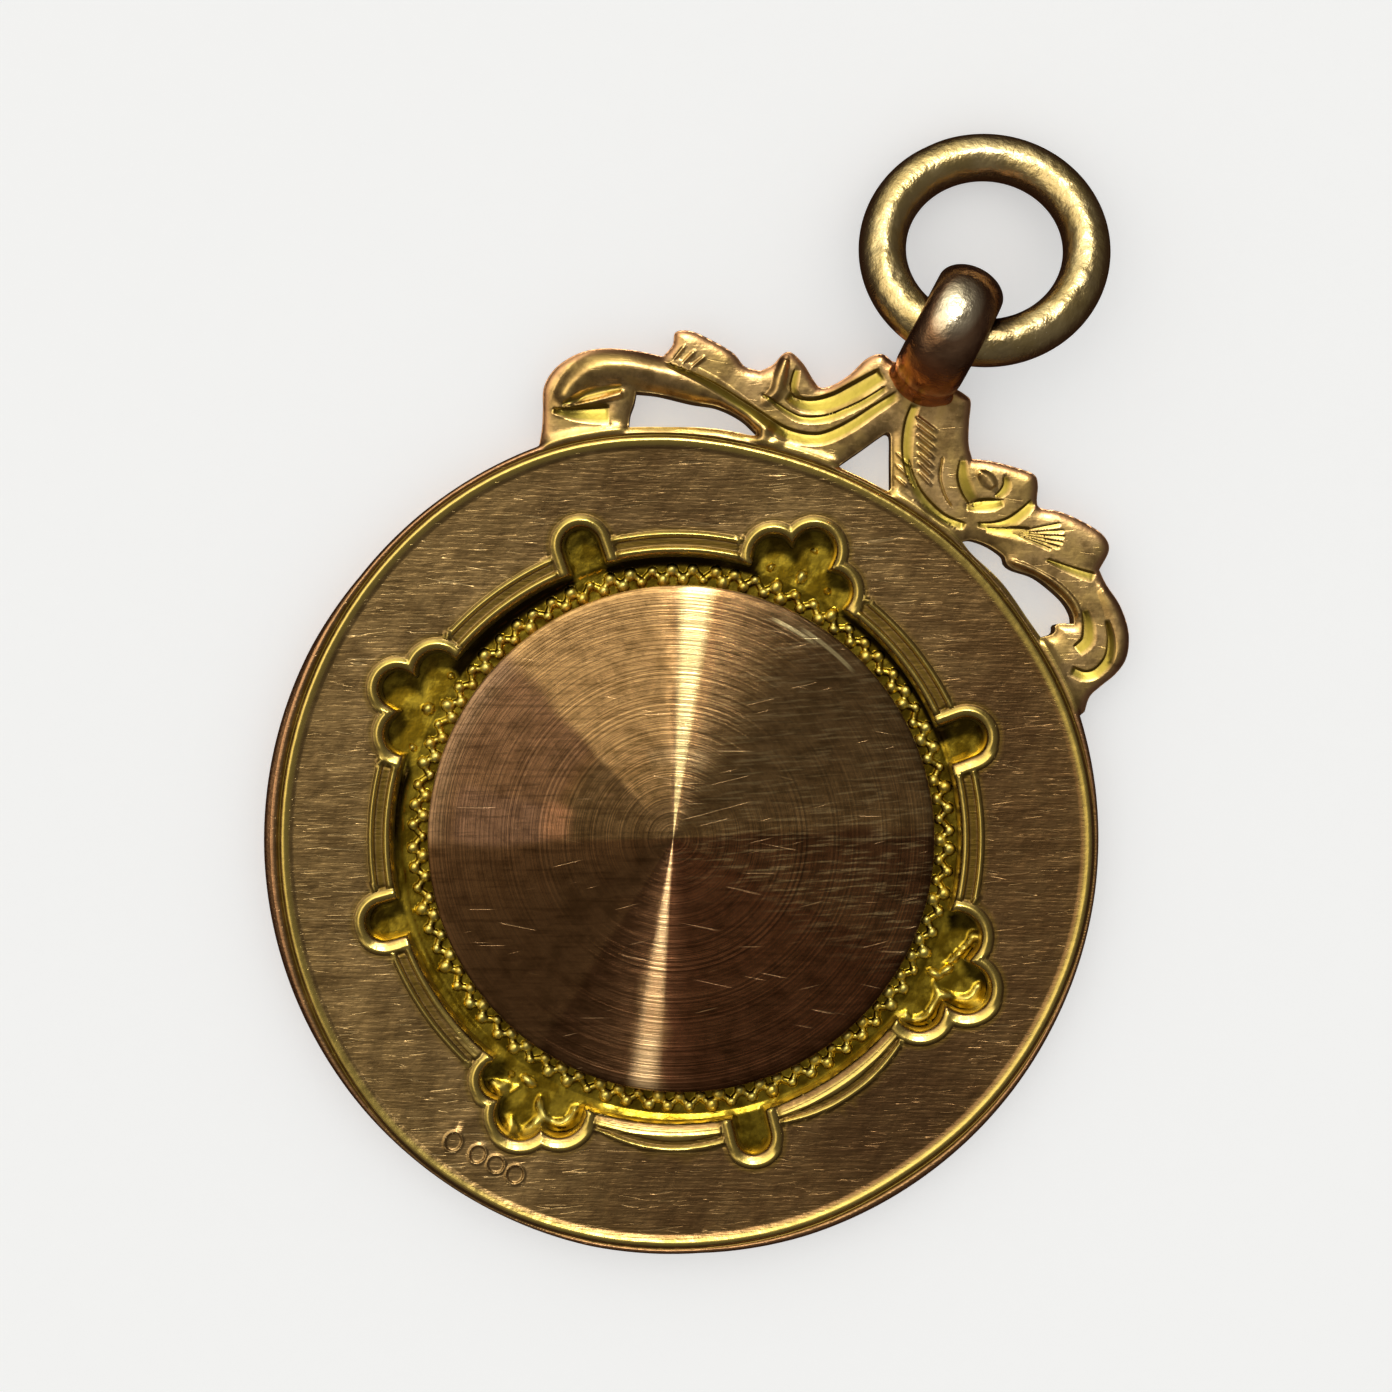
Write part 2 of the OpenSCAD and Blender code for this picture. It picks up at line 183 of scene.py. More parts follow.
# Holes pierced through the crest
LEFT_HOLE = [[(-7.65, 11.7), (-7.0, 11.95), (-6.0, 12.2), (-5.2, 12.45), (-4.4, 12.47), (-3.75, 12.3)],
             [(-3.75, 12.3), (-3.8, 12.15), (-5.0, 11.78), (-6.5, 11.05), (-7.35, 10.6)],
             [(-7.35, 10.6), (-7.5, 11.0), (-7.55, 11.35), (-7.65, 11.7)]]
TRIANGLE_HOLE = [[(-0.97, 12.6), (-0.6, 13.3), (-0.2, 14.08), (-0.08, 14.18), (0.05, 14.08), (0.35, 13.5),
                  (0.78, 12.68)],
                 [(0.78, 12.68), (0.7, 12.55), (-0.1, 12.55), (-0.9, 12.52), (-0.97, 12.6)]]
RIGHT_HOLE = [[(3.5, 12.22), (3.75, 12.42), (4.3, 12.5), (4.85, 12.43), (5.05, 12.25), (5.35, 12.2),
               (6.0, 12.3), (6.6, 12.22), (7.2, 12.05), (7.6, 11.8), (7.78, 11.55)],
              [(7.78, 11.55), (7.45, 11.4), (7.28, 11.25), (7.35, 11.0), (7.05, 10.7)],
              [(7.05, 10.7), (6.5, 10.98), (5.2, 11.65), (4.0, 12.0), (3.5, 12.22)]]

# Chased lines of the crest. A cut slopes down gently and is steep on its left (1) or right (-1) side,
# a groove is cut on both sides and a ridge stands up.
# Columns: kind, steep side, depth or height, widths at the start, middle and end, points of the middle line
STROKES = [
    # Left: the rounded arm, then the three long cuts that run up to the eye
    ("ridge", 0, 0.26, (0.8, 1.25, 0.9),
     [(-9.5, 10.2), (-9.45, 11.0), (-9.05, 11.75), (-8.3, 12.2), (-7.2, 12.52), (-6.0, 12.65),
      (-4.6, 12.55), (-3.2, 12.35)]),
    ("cut", 1, 0.14, (0.14, 0.44, 0.3),
     [(-7.3, 12.85), (-5.8, 12.92), (-4.3, 12.78), (-3.0, 12.66), (-2.1, 12.88), (-1.6, 13.28),
      (-1.15, 13.92), (-0.78, 14.6), (-0.32, 15.4)]),
    ("cut", 1, 0.09, (0.1, 0.28, 0.18),
     [(-4.2, 13.4), (-3.0, 13.25), (-2.45, 13.37), (-1.95, 13.7), (-1.55, 14.15), (-1.15, 14.7),
      (-0.75, 15.4)]),
    ("cut", 1, 0.19, (0.3, 0.64, 0.5),
     [(-3.45, 13.72), (-3.0, 13.68), (-2.5, 13.84), (-2.0, 14.25), (-1.6, 14.8), (-1.05, 15.7)]),
    ("ridge", 0, 0.14, (0.3, 0.5, 0.4), [(-4.0, 14.75), (-3.9, 14.3), (-3.75, 13.7), (-3.9, 13.3)]),
    ("cut", -1, 0.1, (0.2, 0.28, 0.12), [(-3.5, 14.62), (-3.42, 14.3), (-3.3, 14.0), (-3.0, 13.85)]),
    ("cut", 1, 0.2, (0.14, 0.5, 0.66), [(-9.7, 9.95), (-9.1, 10.15), (-8.55, 10.4), (-8.02, 10.68)]),
    ("groove", 0, 0.08, (0.1, 0.34, 0.2), [(-9.5, 10.25), (-9.0, 10.85), (-8.5, 11.3), (-8.05, 11.62)]),
    ("ridge", 0, 0.12, (0.16, 0.22, 0.3), [(-9.5, 10.1), (-8.9, 10.6), (-8.4, 11.02), (-7.95, 11.45)]),
    # Right: the trunk's long cut, the curl and the leaf
    ("cut", -1, 0.1, (0.3, 0.38, 0.06),
     [(0.26, 15.35), (0.38, 14.7), (0.68, 13.95), (1.1, 13.3), (1.5, 12.98)]),
    ("cut", 1, 0.1, (0.08, 0.4, 0.26),
     [(0.8, 13.75), (1.15, 13.26), (1.75, 12.8), (2.6, 12.55), (3.4, 12.66)]),
    ("groove", 0, 0.05, (0.06, 0.12, 0.06), [(1.75, 14.3), (1.95, 13.7), (2.35, 13.25), (2.75, 13.0)]),
    ("cut", -1, 0.14, (0.2, 0.46, 0.3), [(2.35, 14.5), (2.6, 14.02), (2.98, 13.66), (3.4, 13.42)]),
    ("cut", 1, 0.14, (0.2, 0.46, 0.2), [(3.1, 13.22), (3.5, 13.46), (3.85, 13.68), (4.1, 13.9)]),
    ("cut", -1, 0.1, (0.12, 0.32, 0.12), [(3.75, 14.65), (3.93, 14.42), (3.93, 14.15), (3.78, 13.88)]),
    ("ridge", 0, 0.12, (0.3, 0.55, 0.3), [(3.0, 14.35), (3.3, 14.28), (3.6, 14.15)]),
    ("cut", 1, 0.11, (0.16, 0.38, 0.26),
     [(3.65, 12.88), (4.15, 13.08), (4.55, 13.43), (4.8, 13.93), (4.92, 14.35)]),
    ("cut", 1, 0.07, (0.2, 0.4, 0.5), [(3.95, 12.86), (4.4, 13.02), (4.9, 13.22), (5.3, 13.36)]),
    ("cut", 1, 0.1, (0.1, 0.28, 0.36), [(6.05, 12.9), (6.6, 12.94), (7.15, 13.0), (7.68, 13.1)]),
    ("ridge", 0, 0.12, (0.2, 0.26, 0.3),
     [(5.15, 12.38), (5.9, 12.44), (6.7, 12.38), (7.4, 12.15), (7.85, 11.8)]),
    ("cut", -1, 0.14, (0.2, 0.46, 0.4), [(7.85, 12.1), (8.2, 11.7), (8.38, 11.25), (8.22, 10.82)]),
    ("cut", -1, 0.12, (0.14, 0.36, 0.34),
     [(8.6, 12.15), (9.0, 11.65), (9.22, 11.1), (9.12, 10.55), (8.8, 10.25), (8.3, 10.2)]),
    ("ridge", 0, 0.1, (0.4, 0.9, 0.4), [(8.0, 12.95), (8.75, 12.5), (9.35, 11.75), (9.5, 10.9)]),
]

# Short chased lines in rows: start and end of the first, start and end of the last, number, width. Those of
# the fan run out from one point. No chased line is narrower than MIN_WIDTH
HATCHES = [((-7.08, 12.94), (-6.95, 13.62), (-6.55, 12.88), (-6.25, 13.6), 3, 0.15),
           ((0.45, 15.0), (1.2, 14.88), (1.3, 13.5), (1.82, 13.32), 7, 0.15),
           ((0.42, 13.72), (0.95, 13.55), (0.72, 13.05), (1.2, 12.92), 3, 0.12)]
MIN_WIDTH = 0.04
FAN_START = (4.75, 13.14)
FAN_ENDS = [(6.0, 14.1), (6.2, 13.95), (6.3, 13.78), (6.35, 13.6), (6.32, 13.42), (6.1, 13.24)]

# Blank punch marks: centre and half sizes of each oval. Each has a raised line, whose height and width are
# PUNCH_LINE, the width in shares of the oval's size, and is sunk inside it by PUNCH_DEPTH
PUNCHES = [(-1.95, -11.6, 0.27, 0.32), (-1.1, -11.6, 0.26, 0.3), (-0.45, -11.62, 0.28, 0.28),
           (0.22, -11.62, 0.28, 0.3)]
PUNCH_LINE = (0.035, 0.16)
PUNCH_DEPTH = 0.03

# Beaded border: a zigzag ridge with a bead on each corner, on rows of points at BORDER_RADII. The rows of
# BEAD_UNEVEN are the strength and number of the waves by which the heights and sizes differ round it
BEAD_COUNT = 80
POINTS_PER_BEAD = 18
BEAD_UNEVEN = [(0.18, 31), (0.14, 57)]
ZIGZAG_R = 8.24
ZIGZAG_SWING = 0.14
ZIGZAG_HALF_W = 0.13
ZIGZAG_H = 0.08
BEAD_OUT = 8.38
BEAD_IN = 8.08
BEAD_R = 0.175
BEAD_H = 0.165
BORDER_RADII = [7.62, 7.8, 7.88, *np.arange(7.92, 8.62, 0.028), 8.64]

# Bosses on the floor of the trefoils. Columns: x, y, half length, half width, turn in degrees
BOSSES = [(-0.42, 8.97, 0.22, 0.15, 90), (-0.42, 9.88, 0.1, 0.08, 0), (-1.4, 8.8, 0.12, 0.09, 80),
          (0.5, 8.95, 0.1, 0.08, 0), (9.0, -0.12, 0.27, 0.14, 0), (9.26, 0.16, 0.24, 0.12, 60),
          (-0.73, -8.93, 0.28, 0.14, -10), (-1.3, -9.0, 0.1, 0.08, 0), (-8.87, -0.05, 0.18, 0.18, 0),
          (-8.75, -1.35, 0.11, 0.1, 0), (-8.72, 1.2, 0.11, 0.1, 0)]
BOSS_H = 0.2

# Crumpled edge in the right and bottom trefoils: distance from the opening's edge, half width, height
CRUMPLE = (0.29, 0.17, 0.2)

# Panel: level of its face, how far it swells between the trefoils, and the way towards the walls that shade
# it and the distances at which they do
PANEL_Z = 0.66
PANEL_SWELL = 0.09
SHADE_WAY = (-0.66, 0.75)
SHADE_REACHES = (0.12, 0.24, 0.36, 0.48)

# Centre disc: its dome drops by DISC_DOME to the rim. The rows of DISC_EDGE are radius and height over the
# dome's outer end, those of DISC_FOOT radius and z. GAP is left between it and the panel, and between the
# panel and the frame
DISC_R = 7.88
DISC_DOME = 0.14
DISC_EDGE = [(7.76, 0.003), (7.82, -0.015), (7.865, -0.06), (7.88, -0.12)]
DISC_FOOT = [(7.88, 1.12), (7.72, 1.0)]
PLUG_R = 6.0
GAP = 0.04

# Eye, a band round X that is widest at EYE_EDGE_R. Within EYE_REACH of its middle, its own material starts
# at EYE_START_Y where the metal stands over the plate, and covers everything beyond EYE_FOOT_Y
EYE_POS = (0.12, 17.68, 2.3)
EYE_HOLE_R = 1.15
EYE_WALL = 0.96
EYE_HALF_W = 1.07
EYE_EDGE_R = 1.36
EYE_START_Y = 15.3
EYE_FOOT_Y = 16.5
EYE_REACH = 1.3

# Jump ring, whose lowest point lies RING_LIFT over the surface. RING_LEAN is its drop along X and along Y
WIRE_R = 0.735
RING_R = 3.148
RING_LEAN = (-0.17, 0.2586)
RING_X, RING_Y = -0.07, 20.5
RING_LIFT = 0.02

# Solder that joins the eye to the crest: centre and radii of each lump
SOLDER = [((0.12, 16.05, 1.12), (1.05, 0.75, 1.0)), ((0.12, 15.95, 1.3), (1.12, 0.5, 0.45))]

# Dents in the ring: x and y of the middle, radius, depth. They reach down to RING_DENT_REACH below the
# height of the ring's middle
RING_DENT_REACH = 1.2
RING_DENTS = [(-3.05, 19.0, 0.22, 0.05), (-2.1, 18.4, 0.2, 0.035), (2.7, 21.5, 0.28, 0.03),
              (2.75, 19.4, 0.3, 0.03), (2.55, 22.1, 0.2, 0.02), (-1.5, 18.0, 0.25, 0.025),
              (3.1, 20.4, 0.3, 0.03), (-2.9, 22.5, 0.4, 0.02)]


def curve(points, step):
    """Points about step apart on a smooth curve through given points."""
    p = np.array(points, float)
    p = np.vstack([2 * p[0] - p[1], p, 2 * p[-1] - p[-2]])
    t = np.linspace(0, 1, 24, endpoint=False)[:, None]
    parts = []
    for a, b, c, d in zip(p[:-3], p[1:-2], p[2:-1], p[3:]):
        parts.append(0.5 * (2 * b + (c - a) * t + (2 * a - 5 * b + 4 * c - d) * t ** 2
                            + (3 * b - a - 3 * c + d) * t ** 3))
    return respaced(np.vstack(parts + [p[-2:-1]]), step)


def respaced(line, step):
    """The same line with its points about step apart."""
    along = np.concatenate([[0], np.cumsum(np.linalg.norm(np.diff(line, axis=0), axis=1))])
    count = max(2, int(round(along[-1] / step)) + 1)
    at = np.linspace(0, along[-1], count)
    return np.column_stack([np.interp(at, along, line[:, k]) for k in range(line.shape[1])])


def joined(stretches, step):
    """One line from curves that meet in corners, without the last point of each."""
    return np.vstack([curve(stretch, step)[:-1] for stretch in stretches])


def looped(line):
    """A closed line, with its first point again at the end."""
    return np.vstack([line, line[:1]])


def section_at(distance, table):
    """Height, and dirt with painted shade, at distances, from a smooth curve through the rows of a
    section's table.
    """
    smooth = curve(table, 0.005)
    return np.interp(distance, smooth[:, 0], smooth[:, 1]), np.interp(distance, smooth[:, 0], smooth[:, 2])


def section_between(distance, table, other, amount):
    """Height, and dirt with painted shade, between those of two sections."""
    (height, dirt_and_shade), (other_height, other_dirt_and_shade) = section_at(distance, table), section_at(distance, other)
    return height + amount * (other_height - height), dirt_and_shade + amount * (other_dirt_and_shade - dirt_and_shade)


def smoothstep(low, high, value):
    """0 up to low and 1 from high, or the other way round if high is the lower one."""
    t = np.clip((value - low) / (high - low), 0, 1)
    return t * t * (3 - 2 * t)


def nearest_on(line, xy):
    """Distance, side (positive on the left) and place along (0 to 1) of the nearest point of a line."""
    start, run = line[:-1], np.diff(line, axis=0)
    length = np.linalg.norm(run, axis=1)
    before = np.concatenate([[0], np.cumsum(length)])
    distance, side, along = np.empty((3, len(xy)))
    for first in range(0, len(xy), CHUNK):
        part = slice(first, first + CHUNK)
        x = xy[part, 0][:, None] - start[:, 0]
        y = xy[part, 1][:, None] - start[:, 1]
        t = np.clip((x * run[:, 0] + y * run[:, 1]) / length ** 2, 0, 1)
        square = (x - t * run[:, 0]) ** 2 + (y - t * run[:, 1]) ** 2
        best = square.argmin(1)
        row = np.arange(len(best))
        distance[part] = np.sqrt(square[row, best])
        side[part] = np.sign(run[best, 0] * y[row, best] - run[best, 1] * x[row, best])
        along[part] = (before[best] + t[row, best] * length[best]) / before[-1]
    return distance, side, along


def reach_to(lines, xy):
    """Distance to the nearest of some finely spaced lines, for many points."""
    fine = np.vstack([respaced(line, 0.02) for line in lines])
    tree = KDTree(len(fine))
    for i, (x, y) in enumerate(fine.tolist()):
        tree.insert((x, y, 0), i)
    tree.balance()
    return np.array([tree.find((x, y, 0))[2] for x, y in xy.tolist()])


def inside(loop, xy):
    """Which points lie inside a closed loop."""
    x, y = xy[:, 0][:, None], xy[:, 1][:, None]
    x0, y0 = loop[:, 0], loop[:, 1]
    x1, y1 = np.roll(x0, -1), np.roll(y0, -1)
    result = np.zeros(len(xy), bool)
    for first in range(0, len(xy), CHUNK):
        part = slice(first, first + CHUNK)
        crosses = (y0 > y[part]) != (y1 > y[part])
        with np.errstate(divide="ignore", invalid="ignore"):
            cut = x0 + (y[part] - y0) * (x1 - x0) / (y1 - y0)
        result[part] = (crosses & (x[part] < cut)).sum(1) % 2 == 1
    return result


def heading(degrees):
    """Cosine and sine of an angle."""
    return math.cos(math.radians(degrees)), math.sin(math.radians(degrees))


def turns(count):
    """Equal steps of one whole turn, in radians."""
    return np.arange(count) * 2 * math.pi / count


def on_circle(radius, angle):
    """Points at a distance from the origin, or at one each, and at angles in radians."""
    return np.column_stack([radius * np.cos(angle), radius * np.sin(angle)])


def circle(radius, step):
    """Points about step apart on a circle."""
    return on_circle(radius, turns(int(round(2 * math.pi * radius / step))))


def hex_grid(low, high, spacing):
    """Points of a triangular grid over a box."""
    rows = np.arange(low[1], high[1], spacing * 0.866)
    points = []
    for i, y in enumerate(rows):
        x = np.arange(low[0] + (i % 2) * spacing / 2, high[0], spacing)
        points.append(np.column_stack([x, np.full(len(x), y)]))
    return np.vstack(points)


def slope(field, xy, step):
    """Slopes of a field along X and along Y, from its values a step to both sides."""
    return [(field(xy + way) - field(xy - way)) / (2 * step) for way in ((step, 0), (0, step))]


def polar(xy, centre=(0, 0)):
    """Distances from a centre and angles in degrees."""
    x, y = xy[:, 0] - centre[0], xy[:, 1] - centre[1]
    return np.hypot(x, y), np.degrees(np.arctan2(y, x))


# Opening

def lobe_field(xy):
    """Distance outside the lobes' edges, and how squarely their walls face the light, from -1 to 1."""
    bites = []
    for heart, lobe in zip(HEARTS, TREFOILS):
        bites += [((x, y), heart, r) for x, y, r in lobe]
    for turn, reach, r in NARROW_LOBES:
        c, s = heading(turn)
        bites.append(((reach * c, reach * s), (LOBE_START_R * c, LOBE_START_R * s), r))
    light_x, light_y = heading(LIT_FROM)
    distance, facing = np.empty((2, len(bites), len(xy)))
    for i, ((x0, y0), (x1, y1), r) in enumerate(bites):
        run_x, run_y = x1 - x0, y1 - y0
        x, y = xy[:, 0] - x0, xy[:, 1] - y0
        t = np.clip((x * run_x + y * run_y) / (run_x ** 2 + run_y ** 2), 0, 1)
        x, y = x - t * run_x, y - t * run_y
        reach = np.hypot(x, y)
        distance[i] = reach - (r - RIDGE_IN)
        facing[i] = -(x * light_x + y * light_y) / np.maximum(reach, 0.01)
    nearest = distance.min(axis=0)
    weight = np.exp((nearest - distance) / LOBE_BLEND)
    return nearest, (weight * facing).sum(axis=0) / weight.sum(axis=0)


def to_opening(xy):
    """Distance outside the opening's edge, negative inside it."""
    return np.minimum(polar(xy, ARC_CENTRE)[0] - ARC_R, lobe_field(xy)[0])


def opening_line(grow, step):
    """Line round the opening, a distance outside its edge, from where rays from the origin cross it."""
    angle = np.linspace(-math.pi, math.pi, RAY_COUNT, endpoint=False)
    radius = np.linspace(*RAY_RADII)
    r, a = np.meshgrid(radius, angle)
    distance = to_opening(on_circle(r.ravel(), a.ravel())).reshape(r.shape)
    last = (distance <= grow).argmax(axis=1)
    row = np.arange(len(angle))
    outer, inner = distance[row, last - 1] - grow, grow - distance[row, last]
    reach = radius[last] + (radius[0] - radius[1]) * inner / (outer + inner)
    return respaced(looped(on_circle(reach, angle)), step)[:-1]


def to_heart(xy):
    """Distance to the nearest of the points to which the trefoils' bites run together."""
    return np.min([np.hypot(xy[:, 0] - x, xy[:, 1] - y) for x, y in HEARTS], axis=0)


def border_section(xy):
    """Height over the plate of the wall and ridges round the opening, and the dirt and painted shade in
    them.
    """
    radius, angle = polar(xy, ARC_CENTRE)
    to_arc = radius - ARC_R
    to_lobe, facing = lobe_field(xy)
    bulge = np.zeros(len(xy))
    for first, last, middle, out, drop in ARC_BULGES:
        there = (angle > first) & (angle < last)
        bulge[there] = out - drop * ((angle[there] - middle) / 15) ** 2
    cover = smoothstep(0.3, 0.42, to_lobe)
    lobe, lobe_dirt_and_shade = section_between(to_lobe, LOBE_RIDGE, LOBE_LIT, smoothstep(0.3, 0.85, facing))
    lit = smoothstep(0.35, 0.75, -np.cos(np.radians(angle - LIT_FROM)))
    arc, arc_dirt_and_shade = section_between(to_arc - bulge * smoothstep(0.25, 0.6, to_arc), ARC_RIDGE, ARC_LIT, lit)
    wall, wall_dirt_and_shade = section_at(np.minimum(to_arc, to_lobe), WALL)
    dirt_and_shade = np.maximum(lobe_dirt_and_shade * (to_arc > 0), arc_dirt_and_shade * cover)
    return np.maximum(lobe, arc * cover) + wall, np.maximum(dirt_and_shade, wall_dirt_and_shade)


# Crest

def stroke_width(widths, t):
    """Width of a chased line at places along it from 0 to 1, on a parabola through its three widths."""
    start, middle, end = widths
    width = start * (1 - t) * (1 - 2 * t) + middle * 4 * t * (1 - t) + end * t * (2 * t - 1)
    return np.maximum(width, MIN_WIDTH)


def close_to(points, margin, xy):
    """Indices of those of xy that lie in the box round a line's points, with a margin."""
    low, high = np.min(points, axis=0) - margin, np.max(points, axis=0) + margin
    return np.flatnonzero(((xy > low) & (xy < high)).all(axis=1))


def stroke_section(kind, steep, depth, widths, points, xy):
    """Height that one chased line adds to the crest, and the dirt and painted shade at its steep side."""
    line = curve(points, 0.08)
    distance, side, along = nearest_on(line, xy)
    half = stroke_width(widths, along) / 2
    fade = smoothstep(0, 0.05, along) * smoothstep(1, 0.95, along)
    across = distance / half
    if kind == "ridge":
        return depth * np.clip(1 - across ** 2, 0, 1) ** 1.5 * (0.35 + 0.65 * fade), 0
    if kind == "groove":
        return -depth * np.clip(1 - across, 0, 1) * fade, 0.6 * fade * smoothstep(0.3, 0.1, across)
    place = across * side * steep
    section = np.interp(place, [-1, -0.8, 0.6, 0.72, 1], [0, -0.1, -1, -1, 0])
    return depth * section * fade, fade * smoothstep(0.55, 0.75, place) * smoothstep(1.35, 1.0, place)


def all_strokes():
    """The long lines, and the short ones in rows and in the fan."""
    strokes = list(STROKES)
    for start, end, last_start, last_end, count, width in HATCHES:
        for part in np.linspace(0, 1, count):
            ends = np.array([start, end]) * (1 - part) + np.array([last_start, last_end]) * part
            strokes.append(("ridge", 0, 0.4 * width, (width * 0.8, width, width), list(ends)))
    for end in FAN_ENDS:
        strokes.append(("cut", 1, 0.04, (0.05, 0.12, 0.15), [FAN_START, end]))
    return strokes


def crest_relief(xy, edges):
    """Height of the crest over the plate's face, how deep it is cut there from 0 to 1, and its dirt and
    painted shade.
    """
    to_edge = reach_to(edges, xy)
    drop, reach = CREST_ROUNDING
    pillow = -CREST_SUNK - drop * np.exp(-to_edge / reach)
    ridges, cuts, dirt_and_shade = np.zeros((3, len(xy)))
    for stroke in all_strokes():
        near = close_to(stroke[4], max(stroke[3]), xy)
        height, overlay = stroke_section(*stroke, xy[near])
        if stroke[0] == "ridge":
            ridges[near] = np.maximum(ridges[near], height)
        else:
            cuts[near] = np.minimum(cuts[near], height)
            dirt_and_shade[near] = np.maximum(dirt_and_shade[near], overlay)
    height = pillow + ridges * (1 - np.exp(-to_edge / RIDGE_FADE)) + cuts
    return height, smoothstep(0.01, 0.05, -cuts) * (1 - dirt_and_shade), dirt_and_shade


# Frame

def plate_radius(angle):
    """Radius of the plate's worn edge at angles in degrees, from -180 to 180."""
    angles, wear = np.array(EDGE_WEAR).T
    return PLATE_R - 0.02 - np.interp(angle, angles, wear)


def silhouette(step):
    """Outer edge of the plate and crest, clockwise from the crest's left foot."""
    crest = joined(CREST_EDGE, step)
    right, left = [math.degrees(math.atan2(y, x)) for x, y in (CREST_EDGE[-1][-1], CREST_EDGE[0][0])]
    angle = np.linspace(right, left - 360, 2400)
    reach = plate_radius((angle + 180) % 360 - 180)
    low = on_circle(reach, np.radians(angle))
    return np.vstack([crest, respaced(low, step)[:-1]])


def rim_radius(angle):
    """Radius of the ridge beside the plate's edge."""
    line = curve(RIM_LINE, 2.0)
    return np.interp(angle, line[:, 0], line[:, 1])


def to_rim(xy):
    """Distance outside the ridge beside the plate's edge."""
    radius, angle = polar(xy)
    return radius - rim_radius(angle)


def rim_row(distance):
    """Points along the rim's ridge, a distance outside it."""
    angle = np.arange(-180, 180, 0.45)
    return on_circle(rim_radius(angle) + distance, np.radians(angle))


def on_crest(xy, rim_distance):
    """1 on the crest and 0 on the plate."""
    angle = polar(xy)[1]
    start, full, still_full, end = CREST_SPAN
    spread = smoothstep(start, full, angle) * smoothstep(end, still_full, angle)
    return smoothstep(0.16, 0.3, rim_distance) * spread


def punch_marks(xy):
    """Height of the blank punch marks."""
    tall, wide = PUNCH_LINE
    height = np.zeros(len(xy))
    for x, y, a, b in PUNCHES:
        oval = np.hypot((xy[:, 0] - x) / a, (xy[:, 1] - y) / b)
        height += tall * np.exp(-((oval - 1) / wide) ** 2) - PUNCH_DEPTH * smoothstep(0.95, 0.8, oval)
    return height


def frame_relief(xy, edges):
    """Height over the plate's face, and the masks."""
    rim_distance = to_rim(xy)
    crest = on_crest(xy, rim_distance)
    border, dirt_and_shade = border_section(xy)
    rim, rim_dirt_and_shade = section_at(rim_distance, RIM)
    rim_part = np.where(rim_distance > 0.5, 1 - crest, 1)
    to_silhouette = reach_to(edges[:1], xy)
    radius, angle = polar(xy)
    drop, reach = PLATE_ROUNDING
    rounding = -drop * np.exp(-np.maximum(plate_radius(angle) - radius, -0.03) / reach) * (1 - crest)
    height = border + rim * rim_part + rounding + punch_marks(xy)
    dirt_and_shade = np.maximum(dirt_and_shade, rim_dirt_and_shade * rim_part)
    cut = np.zeros(len(xy))
    there = crest > 0
    chased, cut[there], overlay = crest_relief(xy[there], edges)
    height[there] += crest[there] * chased
    dirt_and_shade[there] = np.maximum(dirt_and_shade[there], overlay * crest[there])
    polish = np.maximum(smoothstep(0.01, 0.09, np.abs(border)),
                        smoothstep(0.02, 0.07, np.abs(rim * rim_part)))
    rose = np.maximum(smoothstep(0.2, 0.32, rim_distance) * (1 - crest),
                      smoothstep(0.3, 0.08, to_silhouette))
    return height, dict(zip(MASKS, (polish, cut * crest, rose, dirt_and_shade, crest)))


def rows_beside(line, offsets):
    """Copies of a line moved sideways, one after the other."""
    run = np.gradient(line, axis=0)
    across = np.column_stack([-run[:, 1], run[:, 0]]) / np.linalg.norm(run, axis=1)[:, None]
    return np.vstack([line + across * np.reshape(offset, (-1, 1)) for offset in offsets])


def border_points():
    """Rows of points along the border of the opening, left out where rows from two sides would cross."""
    edge = opening_line(0.0, HOLE_STEP)
    rows = [rows_beside(looped(edge), [-offset])[:-1] for offset in BORDER_ROWS]
    return np.vstack([row[np.abs(to_opening(row) - offset) < 0.004]
                      for row, offset in zip(rows, BORDER_ROWS)])


def has_rows(stroke):
    """Whether a chased line is so sharp or narrow that the mesh has its own rows of points along it."""
    return stroke[0] != "ridge" or max(stroke[3]) < 0.2


def stroke_points(stroke):
    """Rows of points along one chased line."""
    kind, steep, _, widths, points = stroke
    line = curve(points, 0.09)
    half = stroke_width(widths, np.linspace(0, 1, len(line))) / 2
    places = {"ridge": (-1, -0.7, -0.35, 0, 0.35, 0.7, 1), "groove": (-1.1, -0.9, -0.45, 0, 0.45, 0.9, 1.1),
              "cut": (-1.15, -0.9, -0.4, 0.1, 0.6, 0.74, 0.9, 1.1)}[kind]
    return rows_beside(line, [half * place * (steep or 1) for place in places])


def beside_strokes(xy):
    """Which points keep clear of the rows along the chased lines."""
    clear = np.ones(len(xy), bool)
    for stroke in all_strokes():
        if has_rows(stroke):
            widths, points = stroke[3:]
            near = close_to(points, 0.5, xy)
            distance, _, along = nearest_on(curve(points, 0.08), xy[near])
            clear[near] &= distance > 0.6 * stroke_width(widths, along) + 0.015
    return clear


